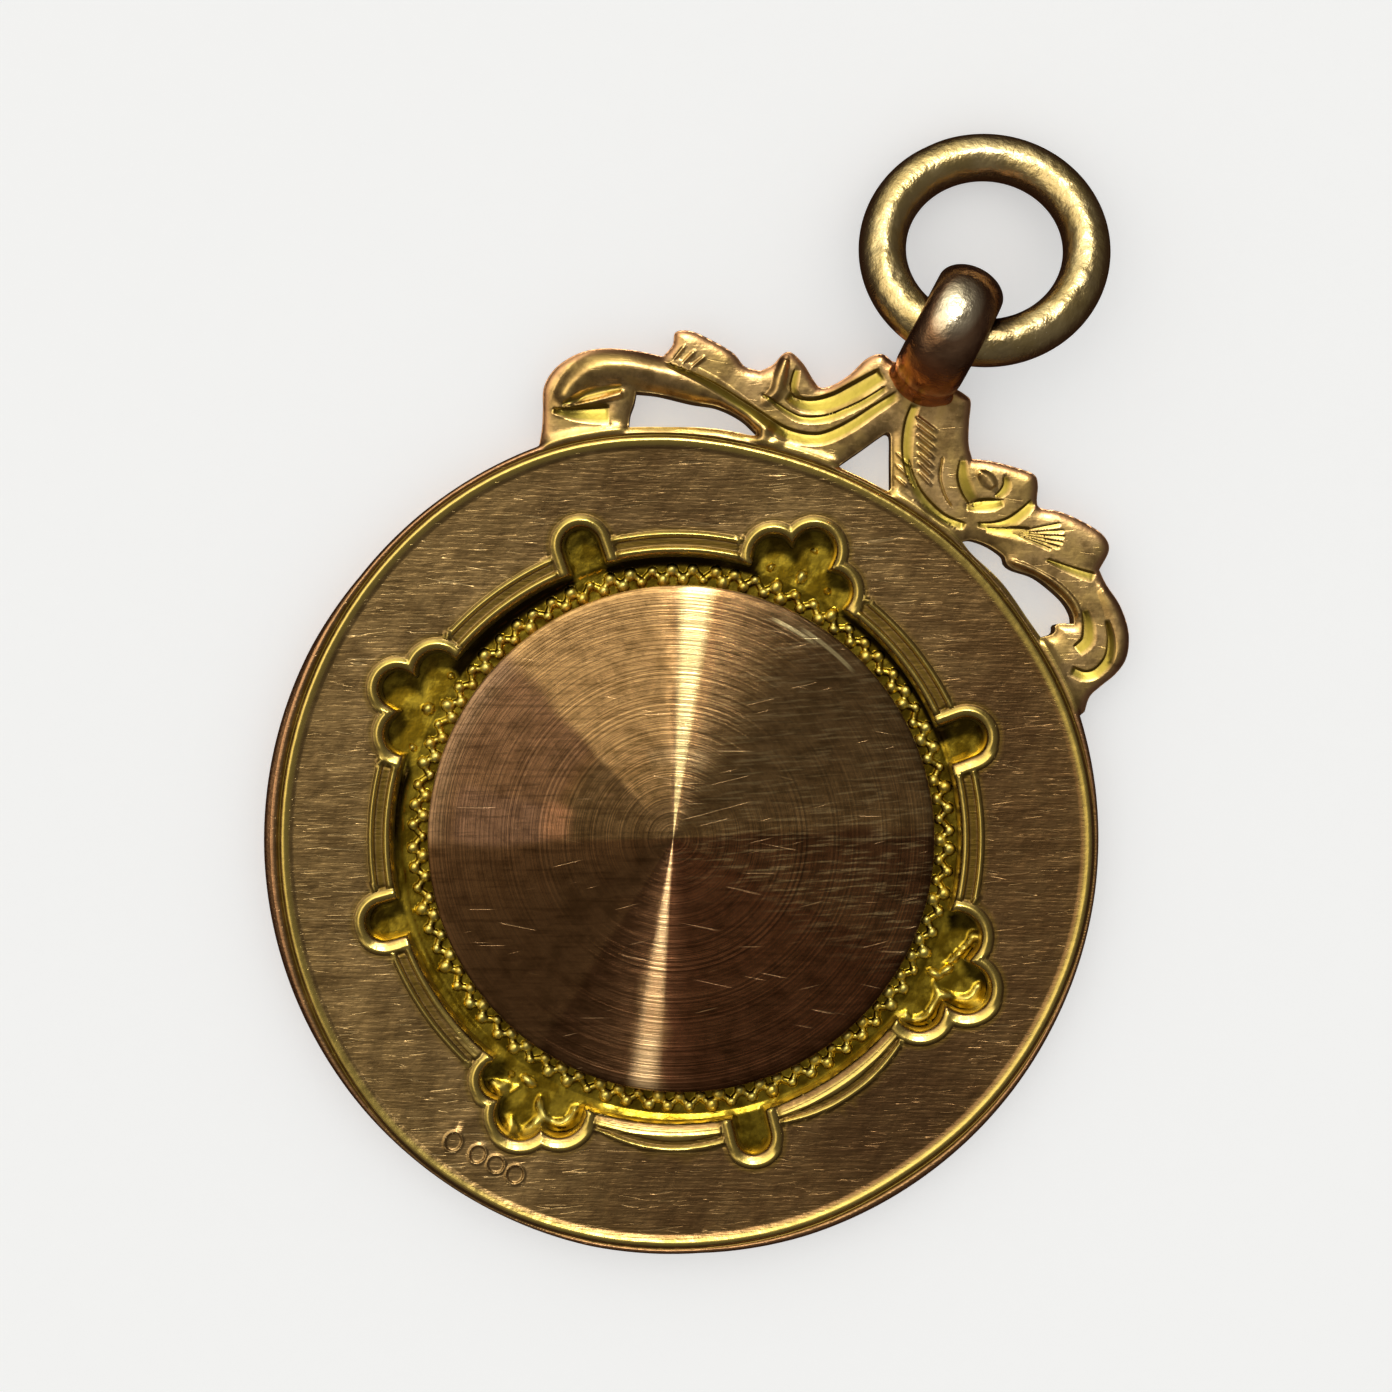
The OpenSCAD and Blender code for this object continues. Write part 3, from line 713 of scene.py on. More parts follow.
def frame_points(loops):
    """Points that carry the frame's relief, close together only where the surface bends."""
    outer = loops[0]
    rim = np.vstack([rim_row(distance) for distance in RIM_ROWS])
    edge = np.vstack([rows_beside(looped(loop), EDGE_ROWS) for loop in [outer] + loops[2:]])
    crest = hex_grid(*CREST_GRID)
    crest = crest[on_crest(crest, to_rim(crest) - RIM_ROWS[-1]) > 0]
    crest = crest[beside_strokes(crest)]
    chased = np.vstack([stroke_points(stroke) for stroke in all_strokes() if has_rows(stroke)])
    flat = hex_grid(*PLATE_GRID)
    flat = flat[(to_rim(flat) < -0.4) & (to_opening(flat) > 0.95)]
    points = np.vstack([border_points(), rim, edge, crest, chased, flat, hex_grid(*PUNCH_GRID)])
    points = points[inside(outer, points)]
    for hole in loops[1:]:
        points = points[~inside(hole, points)]
    return points[reach_to([looped(loop) for loop in loops], points) > 0.03]


# Meshes

class Shell:
    """Vertices and faces of one closed piece, in millimetres."""

    def __init__(self):
        self.vertices = []
        self.faces = []

    def add(self, xyz):
        """New vertices, whose numbers it gives."""
        first = len(self.vertices)
        self.vertices.extend(map(tuple, xyz))
        return list(range(first, len(self.vertices)))

    def ring(self, line, z):
        return self.add(np.column_stack([line, np.broadcast_to(z, len(line))]))

    def walls(self, *rings):
        """A band of faces between each two rings of vertices that follow each other."""
        for upper, lower in zip(rings, rings[1:]):
            for i in range(len(upper)):
                j = (i + 1) % len(upper)
                self.faces.append((upper[i], upper[j], lower[j], lower[i]))

    def cover(self, rings, holes, inner=None, height=None):
        """Fills between rings of vertices: the first is the outer one, and holes says which stay open.
        inner holds more points, and height gives their z."""
        ids = [i for ring in rings for i in ring]
        flat = np.array([self.vertices[i][:2] for i in ids])
        edges = []
        for ring in rings:
            first, count = len(edges), len(ring)
            edges += [(first + i, first + (i + 1) % count) for i in range(count)]
        if inner is not None and len(inner):
            ids = ids + self.add(np.column_stack([inner, height(inner)]))
            flat = np.vstack([flat, inner])
        made = delaunay_2d_cdt([Vector(p) for p in flat.tolist()], edges, [], 1, 1e-7)
        origin = [min(source) if source else None for source in made[3]]
        triangles = [tuple(origin[i] for i in face) for face in made[2]]
        triangles = [t for t in triangles if None not in t and len(set(t)) == 3]
        centre = flat[np.array(triangles)].mean(axis=1)
        keep = inside(flat[:len(rings[0])], centre)
        for loop in holes:
            keep &= ~inside(loop, centre)
        self.faces.extend(tuple(ids[i] for i in t) for t, k in zip(triangles, keep) if k)

    def object(self, name, sharp_angle=40):
        mesh = bpy.data.meshes.new(name)
        mesh.from_pydata([(x * MM, y * MM, z * MM) for x, y, z in self.vertices], [], self.faces)
        return finished(name, mesh, sharp_angle)


def in_scene(name, data):
    """A new object in the scene."""
    obj = bpy.data.objects.new(name, data)
    bpy.context.scene.collection.objects.link(obj)
    return obj


def finished(name, mesh, sharp_angle):
    """An object of a mesh with outward normals and smooth shading up to an angle."""
    bm = bmesh.new()
    bm.from_mesh(mesh)
    bmesh.ops.delete(bm, geom=[v for v in bm.verts if not v.link_faces], context="VERTS")
    bmesh.ops.recalc_face_normals(bm, faces=bm.faces)
    bm.to_mesh(mesh)
    bm.free()
    mesh.shade_smooth()
    mesh.set_sharp_from_angle(angle=math.radians(sharp_angle))
    mesh.name = name
    return in_scene(name, mesh)


def frame_shell():
    """Plate and crest in one closed shell, with the rebate for the panel underneath."""
    outer = silhouette(OUTER_STEP)
    opening = opening_line(-FOOT_IN, OPENING_STEP)
    pierced = [joined(hole, HOLE_STEP) for hole in (LEFT_HOLE, TRIANGLE_HOLE, RIGHT_HOLE)]
    loops = [outer, opening] + pierced
    edges = [looped(outer)] + [looped(hole) for hole in pierced]

    def height(xy):
        return PLATE_TOP + frame_relief(xy, edges)[0]

    shell = Shell()
    top = [shell.ring(loop, height(loop)) for loop in loops]
    shell.cover(top, loops[1:], frame_points(loops), height)
    bottom = []
    for i in (0, 2, 3, 4):
        levels = [shell.ring(loops[i], z) for z in SIDE_LEVELS]
        shell.walls(top[i], *levels)
        bottom.append(levels[-1])
    rebate = circle(REBATE_R, 0.3)
    ceiling = shell.ring(rebate, FLOOR_Z)
    mouth = shell.ring(rebate, 0.0)
    shell.walls(ceiling, mouth)
    foot = shell.ring(opening, FLOOR_Z)
    shell.walls(top[1], foot)
    shell.cover([ceiling, foot], [opening])
    shell.cover([bottom[0], mouth] + bottom[1:], [rebate] + pierced)
    return shell, edges


def domed_section(inner, edge, outer, half_across, count):
    """A loop of (radius, height) points of a band that is domed outside and nearly flat inside."""
    a = turns(count)
    rise = np.where(np.cos(a) > 0, outer - edge, edge - inner)
    return list(zip(edge + rise * np.cos(a), half_across * np.sin(a)))


def eye_object():
    """The eye and the solder at its foot, as one closed and smoothed mesh."""
    shell, band = Shell(), []
    x0, y0, z0 = EYE_POS
    a = turns(120)
    for radius, across in domed_section(EYE_HOLE_R, EYE_EDGE_R, EYE_HOLE_R + EYE_WALL, EYE_HALF_W, 48):
        band.append(shell.add(np.column_stack(
            [np.full(len(a), x0 + across), y0 + radius * np.cos(a), z0 + radius * np.sin(a)])))
    shell.walls(*band, band[0])
    mesh = bpy.data.meshes.new("eye")
    mesh.from_pydata(shell.vertices, [], shell.faces)
    bm = bmesh.new()
    bm.from_mesh(mesh)
    for centre, radii in SOLDER:
        ball = Matrix.Translation(centre) @ Matrix.Diagonal((*radii, 1))
        bmesh.ops.create_icosphere(bm, subdivisions=5, radius=1, matrix=ball)
    bm.to_mesh(mesh)
    bm.free()
    obj = in_scene("eye", mesh)
    remesh = obj.modifiers.new("join", "REMESH")
    remesh.mode = "VOXEL"
    remesh.voxel_size = 0.06
    smooth = obj.modifiers.new("smooth", "SMOOTH")
    smooth.factor = 0.6
    smooth.iterations = 6
    applied(obj)
    obj.data.transform(Matrix.Scale(MM, 4))
    return obj


def applied(obj):
    """Turns the modifiers of an object into its mesh."""
    graph = bpy.context.evaluated_depsgraph_get()
    mesh = bpy.data.meshes.new_from_object(obj.evaluated_get(graph))
    obj.modifiers.clear()
    obj.data = mesh


def united(obj, other):
    """Joins two closed meshes into one solid and removes the second object."""
    union = obj.modifiers.new("union", "BOOLEAN")
    union.operation = "UNION"
    union.solver = "MANIFOLD"
    union.object = other
    applied(obj)
    bpy.data.objects.remove(other)


# Panel and centre disc

def tooth_height(radius, angle):
    """Height of the beaded border: a ridge that runs in a zigzag, with an uneven bead on each corner."""
    pitch = 360 / BEAD_COUNT
    part = (angle / pitch) % 1
    line = ZIGZAG_R + ZIGZAG_SWING * (1 - 4 * np.abs(part - 0.5))
    ridge = np.sqrt(np.clip(1 - ((radius - line) / ZIGZAG_HALF_W) ** 2, 0, 1))
    uneven = 1
    for strength, waves in BEAD_UNEVEN:
        uneven = uneven + strength * np.sin(np.radians(waves * angle))
    height = ZIGZAG_H * ridge
    for at, place in ((BEAD_OUT, part - 0.5), (BEAD_IN, part - np.round(part))):
        across = place * math.radians(pitch) * radius
        square = (across ** 2 + (radius - at) ** 2) / (BEAD_R * uneven) ** 2
        height = np.maximum(height, BEAD_H * np.sqrt(np.clip(1 - square, 0, 1)))
    return uneven * height


def ornament_height(xy, inward):
    """Height of the bosses and of the crumpled edge on the floor of the four trefoils."""
    height = np.zeros(len(xy))
    for x, y, half_long, half_wide, turn in BOSSES:
        c, s = heading(turn)
        out = (xy[:, 0] - x) * c + (xy[:, 1] - y) * s
        side = (xy[:, 1] - y) * c - (xy[:, 0] - x) * s
        dome = 1 - (out / half_long) ** 2 - (side / half_wide) ** 2
        height = np.maximum(height, BOSS_H * np.sqrt(np.clip(dome, 0, 1)))
    place, half, tall = CRUMPLE
    lower_right = smoothstep(0, 1, 0.64 * xy[:, 0] - 0.77 * xy[:, 1])
    lower_right *= smoothstep(-0.2, 0.3, wall_facing(xy, -50))
    there = smoothstep(8.75, 9.0, polar(xy)[0]) * smoothstep(2.3, 2.0, to_heart(xy)) * lower_right
    folds = 0.6 + 0.4 * np.sin(7 * xy[:, 0] + 3 * xy[:, 1]) * np.sin(6 * xy[:, 1] - 4 * xy[:, 0])
    wave = place + 0.08 * np.sin(5 * xy[:, 0] - 3 * xy[:, 1])
    edge = tall * folds * there * np.clip(1 - ((inward - wave) / half) ** 2, 0, 1)
    return np.maximum(height, edge)


def wall_facing(xy, azimuth):
    """How far the nearest stretch of the opening's wall lies towards an azimuth, from -1 to 1."""
    slope_x, slope_y = slope(to_opening, xy, 0.02)
    c, s = heading(azimuth)
    return (slope_x * c + slope_y * s) / np.maximum(np.hypot(slope_x, slope_y), 0.01)


def floor_swell(xy):
    """How far the panel rises outside the beaded border, between the trefoils."""
    return PANEL_SWELL * smoothstep(8.6, 8.82, polar(xy)[0]) * smoothstep(1.9, 2.5, to_heart(xy))


def panel_shell():
    """Stamped panel: a flat back, the beaded border round the disc, and the ornament in the trefoils."""
    shell = Shell()

    def height(xy):
        inward = -to_opening(xy)
        clear = smoothstep(FOOT_IN + 0.03, FOOT_IN + 0.1, inward)
        return PANEL_Z + clear * (floor_swell(xy) + ornament_height(xy, inward))

    count = BEAD_COUNT * POINTS_PER_BEAD
    angle = np.arange(count) * 360 / count
    turn = on_circle(1, np.radians(angle))
    rows = [shell.ring(turn * r, PANEL_Z + tooth_height(np.full(count, r), angle)) for r in BORDER_RADII]
    for inner, outer in zip(rows, rows[1:]):
        shell.walls(outer, inner)
    hole = circle(PLUG_R + GAP, 0.2)
    rim = circle(REBATE_R - GAP, 0.2)
    hole_top, rim_top = shell.ring(hole, PANEL_Z), shell.ring(rim, PANEL_Z)
    hole_low, rim_low = shell.ring(hole, 0.0), shell.ring(rim, 0.0)
    shell.walls(rim_top, rim_low)
    shell.walls(hole_low, hole_top)
    shell.cover([rows[0], hole_top], [hole])
    fill = hex_grid(*PANEL_GRID)
    fill = fill[(to_opening(fill) < -0.15) & (polar(fill)[0] > 8.68)]
    shell.cover([rim_top, rows[-1]], [turn * BORDER_RADII[-1]], fill, height)
    shell.cover([rim_low, hole_low], [hole])
    return shell


def lathe(name, profile, count):
    """A solid turned round Z, from (radius, z) points that start and end on the axis."""
    shell = Shell()
    turn = on_circle(1, turns(count))
    rows = [shell.ring(turn * r, z) for r, z in profile[1:-1]]
    shell.walls(*rows)
    for row, (r, z) in ((rows[0], profile[0]), (rows[-1], profile[-1])):
        centre = shell.add([(0, 0, z)])[0]
        shell.faces.extend((centre, row[i], row[(i + 1) % count]) for i in range(count))
    return shell.object(name, 30)


def disc_profile():
    """Radius and z of the disc's outline, from the middle of its top round to the middle of its plug."""
    dome = [(r, DISC_TOP - DISC_DOME * (r / DISC_R) ** 2) for r in np.arange(0.25, 7.7, 0.25)]
    edge = [(r, DISC_TOP - DISC_DOME + rise) for r, rise in DISC_EDGE]
    under = [(DISC_FOOT[-1][0], FLOOR_Z + GAP), (PLUG_R, FLOOR_Z + GAP), (PLUG_R, 0), (0, 0)]
    return [(0, DISC_TOP)] + dome + edge + DISC_FOOT + under


def ring_object():
    """Round wire ring in the place where it lies, with shallow dents."""
    shell = Shell()
    lean = math.atan(math.hypot(*RING_LEAN))
    z = RING_R * math.sin(lean) + WIRE_R + RING_LIFT
    towards = Matrix.Rotation(math.atan2(RING_LEAN[1], RING_LEAN[0]), 4, "Z")
    pose = Matrix.Translation((RING_X, RING_Y, z)) @ towards @ Matrix.Rotation(lean, 4, "Y")

    def posed(points):
        return points @ np.array(pose.to_3x3()).T + np.array(pose.translation)

    steps, around = 288, 72
    rings = [np.column_stack([on_circle(RING_R + WIRE_R * math.cos(b), turns(steps)),
                              np.full(steps, WIRE_R * math.sin(b))]) for b in turns(around)]
    points = np.vstack(rings)
    middle = points * (1, 1, 0)
    middle *= RING_R / np.linalg.norm(middle, axis=1)[:, None]
    x, y, height = posed(points).T
    sink = np.zeros(len(points))
    for at_x, at_y, radius, depth in RING_DENTS:
        over = height > z - RING_DENT_REACH
        sink += over * depth * np.exp(-((x - at_x) ** 2 + (y - at_y) ** 2) / radius ** 2)
    points -= (points - middle) / WIRE_R * sink[:, None]
    ids = [shell.add(row) for row in posed(points).reshape(around, steps, 3)]
    shell.walls(*ids, ids[0])
    return shell.object("ring_wire", 60)


def relief_normals(height, xy):
    """Unit normals of a relief, from its slope."""
    slope_x, slope_y = slope(height, xy, 0.012)
    normals = np.column_stack([-slope_x, -slope_y, np.ones(len(xy))])
    return normals / np.linalg.norm(normals, axis=1)[:, None]


def read(items, name, width=3, kind=np.float32):
    """A property of all vertices, faces or corners of a mesh, a row for each."""
    values = np.zeros(len(items) * width, kind)
    items.foreach_get(name, values)
    return values.reshape(-1, width).astype(float if kind == np.float32 else kind)


def set_relief_normals(obj, height, top):
    """Gives corners of the faces marked in top the normals of the relief, so that it shades evenly."""
    mesh = obj.data
    corners = read(mesh.loops, "vertex_index", 1, np.int32).ravel()
    on_top = np.repeat(top, read(mesh.polygons, "loop_total", 1, np.int32).ravel())
    used = np.unique(corners[on_top])
    exact = np.zeros((len(mesh.vertices), 3))
    exact[used] = relief_normals(height, read(mesh.vertices, "co")[used, :2] / MM)
    normals = np.where(on_top[:, None], exact[corners], 0)
    mesh.normals_split_custom_set(normals.tolist())


def store(obj, name, values):
    """Keeps one number for each vertex under a name that a material can read."""
    attribute = obj.data.attributes.new(name, "FLOAT", "POINT")
    attribute.data.foreach_set("value", np.asarray(values, np.float32))


# Materials

class Nodes:
    """The nodes of a material or world in the making, with short calls for them."""

    def __init__(self, owner):
        owner.use_nodes = True
        self.tree = owner.node_tree
        self.tree.nodes.clear()

    def node(self, kind, inputs=(), out=0, **settings):
        """Adds a node, sets its inputs or links them, and gives one of its outputs."""
        node = self.tree.nodes.new("ShaderNode" + kind)
        for key, value in settings.items():
            setattr(node, key, value)
        for key, value in dict(inputs).items():
            if isinstance(value, bpy.types.NodeSocket):
                self.tree.links.new(value, node.inputs[key])
            else:
                node.inputs[key].default_value = value
        return node.outputs[out] if node.outputs else None

    def math(self, operation, a, b=0.0):
        return self.node("Math", {0: a, 1: b}, operation=operation)

    def times(self, a, b):
        return self.math("MULTIPLY", a, b)

    def vector(self, operation, a, b=(0, 0, 0), scale=1.0, out=0):
        return self.node("VectorMath", {0: a, 1: b, 3: scale}, out=out, operation=operation)

    def part(self, vector, axis):
        """One of the three numbers of a vector."""
        return self.node("SeparateXYZ", {0: vector}, out=axis)

    def pair(self, x, y=0.0):
        """A vector of two numbers."""
        return self.node("CombineXYZ", {0: x, 1: y, 2: 0.0})

    def mixed(self, amount, a, b, blend="MIX"):
        """Colour between a and b."""
        colours = {6: (*a, 1) if isinstance(a, tuple) else a, 7: (*b, 1) if isinstance(b, tuple) else b}
        return self.node("Mix", {0: amount, **colours}, out=2, data_type="RGBA", blend_type=blend)

    def over(self, colour, mask, amount, overlay):
        """A colour with another colour laid over it at a strength, where the mask is 1."""
        return self.mixed(self.times(mask, amount), colour, overlay)


class Look(Nodes):
    """A material in the making. Lengths in it are millimetres."""

    def __init__(self, name):
        self.material = bpy.data.materials.new(name)
        super().__init__(self.material)
        self.place = self.vector("SCALE", self.node("TexCoord", out="Object"), scale=1 / MM)

    def normal(self):
        """The surface's own direction."""
        return self.node("NewGeometry", out="Normal")

    def noise(self, scale, detail, roughness=0.5, at=None):
        inputs = {"Vector": at or self.place, "Scale": scale, "Detail": detail, "Roughness": roughness}
        return self.node("TexNoise", inputs)

    def streaks(self, angle, length, width, seed, detail):
        """Noise drawn out into streaks that run at an angle across the plate."""
        turned = self.node("VectorRotate", {"Vector": self.place, "Angle": -math.radians(angle)},
                           rotation_type="Z_AXIS")
        drawn = self.vector("MULTIPLY", turned, (1 / length, 1 / width, 1 / width))
        return self.noise(1.0, detail, 0.55, self.vector("ADD", drawn, (seed, seed * 2.7, 0)))

    def spread(self, value, low, high, most=1.0):
        """0 where a value is low, smoothly up to most where it is high."""
        return self.node("MapRange", {0: value, 1: low, 2: high, 4: most}, interpolation_type="SMOOTHSTEP")

    def overlaid(self, colour, value, low, high, amount, overlay, blend="MIX"):
        """A colour with another colour laid over it, coming in up to an amount as a value runs from low to
        high.
        """
        return self.mixed(self.spread(value, low, high, amount), colour, overlay, blend)

    def between(self, amount, a, b):
        """Number between a and b."""
        return self.node("Mix", {0: amount, 2: a, 3: b}, data_type="FLOAT")

    def mask(self, name):
        """The number that the mesh keeps under a name."""
        return self.node("Attribute", out="Fac", attribute_name=name)

    def leaned(self, way, amount):
        """The surface's normal, leaned by an amount of a vector."""
        lean = self.vector("SCALE", way, scale=amount)
        return self.vector("NORMALIZE", self.vector("ADD", self.normal(), lean))

    def bump(self, height, depth, normal=None):
        """Bends the normal as relief of a depth in millimetres would."""
        inputs = {"Height": height, "Distance": depth * MM, "Strength": 1.0}
        if normal:
            inputs["Normal"] = normal
        return self.node("Bump", inputs)

    def metal(self, colour, roughness, normal, anisotropy=0.0, tangent=None):
        inputs = {"Base Color": colour, "Metallic": 1.0, "Roughness": roughness, "Normal": normal,
                  "Anisotropic": anisotropy}
        if tangent:
            inputs["Tangent"] = tangent
        shader = self.node("BsdfPrincipled", inputs)
        self.node("OutputMaterial", {"Surface": shader})
        return self.material


# Direction of the brushing across the plate, how much each millimetre from the centre tips its slightly
# hollow face, and how far the turned marks of the disc lean outwards
BRUSHED = PHOTO_TURN
HOLLOW = 0.0045
DISC_LEAN = -0.02

# Sparse scratches on the plate and the disc. Columns: angle, length, width
PLATE_SCRATCHES = [(BRUSHED, 1.6, 0.09), (BRUSHED - 9, 1.2, 0.08), (BRUSHED + 7, 1.5, 0.08)]
DISC_SCRATCHES = [(BRUSHED, 4.0, 0.09), (BRUSHED + 14, 3.0, 0.08), (BRUSHED - 12, 3.5, 0.09)]

# Painted shade: darker patches of the plate's face. Columns: x, y, radius, strength
PLATE_SHADE_PATCHES = [(-5.0, 9.8, 3.4, 0.45), (-7.6, 7.6, 2.6, 0.35), (9.9, -4.6, 4.0, 0.6),
                (4.6, -9.9, 2.6, 0.25), (7.0, 7.6, 2.4, 0.3), (10.6, 0.2, 2.2, 0.15)]

# Azimuth and angle from straight up that the eye's painted highlight faces, and the middle of the ring's
# painted shadow under the eye
EYE_PAINTED_HIGHLIGHT = (112, 16)
RING_PAINTED_SHADOW = (1.35, 18.35, 2.6)

# Centre of the disc's turned marks
TURNED_CENTRE = (-0.23, -0.08)

# Painted light and shade on the disc, in sectors. Columns: start and end angle from the left, inner and
# outer radius, strength, colour
DISC_PAINTED_LIGHT_AND_SHADE = [(-62, -20, -1, 2.3, 0.6, (0.3, 0.2, 0.1)), (-62, -20, 1.2, 8.2, 0.4, (1.0, 0.63, 0.29)),
               (-62, -20, 2.0, 8.2, 0.45, (1.0, 0.63, 0.29)), (-62, -20, 2.9, 8.2, 0.6, (1.0, 0.63, 0.29)),
               (-20, 29, 3.7, 7.1, 0.8, (0.45, 0.25, 0.145)), (-20, 29, 7.1, 8.2, 0.6, (0.62, 0.4, 0.27)),
               (-20, 29, -1, 3.4, 0.6, (0.3, 0.2, 0.1)), (12, 27, 3.3, 4.1, 0.85, (1.0, 0.52, 0.3)),
               (14, 29, 4.1, 6.8, 0.35, (0.7, 0.42, 0.32)), (29, 84, -1, 8.2, 0.85, (0.22, 0.115, 0.055)),
               (84, 107, -1, 8.2, 0.9, (0.12, 0.055, 0.027)),
               (114, 190, -1, 8.2, 0.9, (0.105, 0.036, 0.018)),
               (-190, -150, -1, 8.2, 0.85, (0.12, 0.052, 0.027)),
               (-150, -75, -1, 8.2, 0.6, (0.3, 0.2, 0.1)), (-85, -45, 2.3, 2.8, 0.3, (1.0, 0.75, 0.45))]

# Painted highlights of the disc along two rays, in the same columns
DISC_PAINTED_HIGHLIGHTS = [(-71.5, -64.5, -1, 8.2, 0.8, (1.0, 0.82, 0.42)), (108, 113, -1, 8.2, 0.9, (1.0, 0.7, 0.4)),
             (108, 113, 3.6, 6.2, 0.6, (0.72, 0.42, 0.21))]

# Nicks near the disc's edge, painted as bright glints: start and end angle from the left, radius
DISC_GLINTING_NICKS = [(-109, -95, 7.6), (-98, -88, 7.45)]


def scratched(look, kinds, threshold):
    """Sparse fine scratches of some kinds: 1 in them and 0 beside them."""
    lines = 0.0
    for seed, (angle, length, width) in enumerate(kinds):
        streak = look.streaks(angle, length, width, 3.1 + seed * 7.3, 1.0)
        lines = look.math("MAXIMUM", lines, look.spread(streak, threshold, threshold + 0.05))
    return lines


def plate_look():
    """Worn gold: a brushed face with what the masks add to it, and painted shade towards +X and in patches.
    """
    look = Look("frame")
    polish, cut, rose, dirt_and_shade, crest = map(look.mask, MASKS)
    flat = look.vector("MULTIPLY", look.place, (1, 1, 0))
    mottle = look.noise(1.3, 5.0, 0.6)
    fine = look.streaks(BRUSHED, 0.9, 0.1, 0.0, 3.0)
    broad = look.streaks(BRUSHED + 3, 2.2, 0.5, 11.0, 3.0)
    scratches = scratched(look, PLATE_SCRATCHES, 0.7)
    brown = look.overlaid((0.54, 0.365, 0.165), look.noise(0.35, 3.0), 0.35, 0.65, 1, (0.67, 0.455, 0.21))
    brown = look.overlaid(brown, mottle, 0.35, 0.7, 0.62, (0.2, 0.125, 0.055))
    brown = look.overlaid(brown, broad, 0.4, 0.68, 0.45, (0.21, 0.13, 0.055))
    brown = look.over(brown, scratches, 0.6, (0.8, 0.6, 0.32))
    # Painted shade: the face darkens towards +X, the side away from the light
    brown = look.overlaid(brown, look.part(look.place, 0), -3, 8, 0.68, (0.21, 0.108, 0.048))
    # Painted shade in patches
    for x, y, reach, amount in PLATE_SHADE_PATCHES:
        apart = look.vector("DISTANCE", flat, (x, y, 0), out=1)
        brown = look.overlaid(brown, apart, reach, 0.3 * reach, amount, (0.15, 0.08, 0.04))
    tan = look.overlaid((0.93, 0.66, 0.26), look.noise(0.8, 3.0), 0.4, 0.6, 1, (1.0, 0.7, 0.34))
    tan = look.overlaid(tan, look.noise(1.6, 5.0, 0.6), 0.4, 0.66, 0.75, (0.36, 0.23, 0.09))
    face = look.mixed(crest, brown, tan)
    face = look.mixed(polish, face, (0.9, 0.7, 0.21))
    face = look.mixed(rose, face, (0.66, 0.37, 0.21))
    face = look.mixed(cut, face, (0.53, 0.43, 0.085))
    # Dirt and painted shade darken the grooves, the valleys between ridges and the feet of the walls
    face = look.over(face, dirt_and_shade, 0.85, (0.19, 0.125, 0.02))
    satin = look.between(crest, look.between(fine, 0.22, 0.34), 0.3)
    roughness = look.between(dirt_and_shade, look.between(cut, look.between(polish, satin, 0.24), 0.36), 0.45)
    rough = look.math("SUBTRACT", 1.0, look.math("MAXIMUM", polish, cut))
    relief = look.math("ADD", look.math("ADD", fine, mottle), look.times(scratches, -0.6))
    relief = look.times(relief, look.times(rough, look.between(crest, 1.0, 0.25)))
    normal = look.bump(relief, 0.013, look.leaned(flat, -HOLLOW))
    return look.metal(face, roughness, look.bump(look.noise(1.4, 4.0), 0.03, normal))


def eye_look():
    """Polished rose-brown gold with a painted highlight where it faces the light, and the dull, reddish
    stain of solder at its foot.
    """
    look = Look("eye")
    patches = look.noise(1.3, 4.0)
    toward_highlight = look.vector("DOT_PRODUCT", look.normal(), direction(*EYE_PAINTED_HIGHLIGHT), out=1)
    colour = look.overlaid((0.34, 0.19, 0.12), patches, 0.35, 0.65, 1, (0.46, 0.28, 0.18))
    # Painted highlight: pale where the surface faces the light's direction
    colour = look.overlaid(colour, toward_highlight, 0.82, 0.98, 1, (1.0, 0.9, 0.72))
    colour = look.overlaid(colour, look.part(look.place, 1), 16.7, 15.9, 1, (0.8, 0.33, 0.16))
    roughness = look.between(look.spread(patches, 0.3, 0.7), 0.18, 0.27)
    normal = look.bump(look.noise(2.4, 4.0), 0.05)
    return look.metal(colour, roughness, look.bump(look.noise(18.0, 3.0), 0.006, normal))


def panel_look():
    """Bright stamped yellow gold, with painted shade under its walls, in two narrow lobes and between its
    beads.
    """
    look = Look("stamped_panel")
    grain = look.noise(9.0, 4.0, 0.6)
    low = look.mask("low")
    colour = look.overlaid((1.0, 0.79, 0.17), look.noise(1.1, 4.0), 0.35, 0.65, 1, (1.0, 0.88, 0.27))
    floor_colour = look.overlaid((0.42, 0.28, 0.02), look.noise(2.0, 3.0), 0.4, 0.65, 1, (1.0, 0.74, 0.08))
    # Painted shade and shadow: the shade mask darkens the panel almost to black
    colour = look.mixed(look.mask("shade"), look.mixed(low, colour, floor_colour), (0.02, 0.012, 0.003))
    roughness = look.between(low, 0.4, look.between(grain, 0.17, 0.27))
    return look.metal(colour, roughness, look.bump(look.noise(1.8, 1.0), 0.035, look.bump(grain, 0.007)))


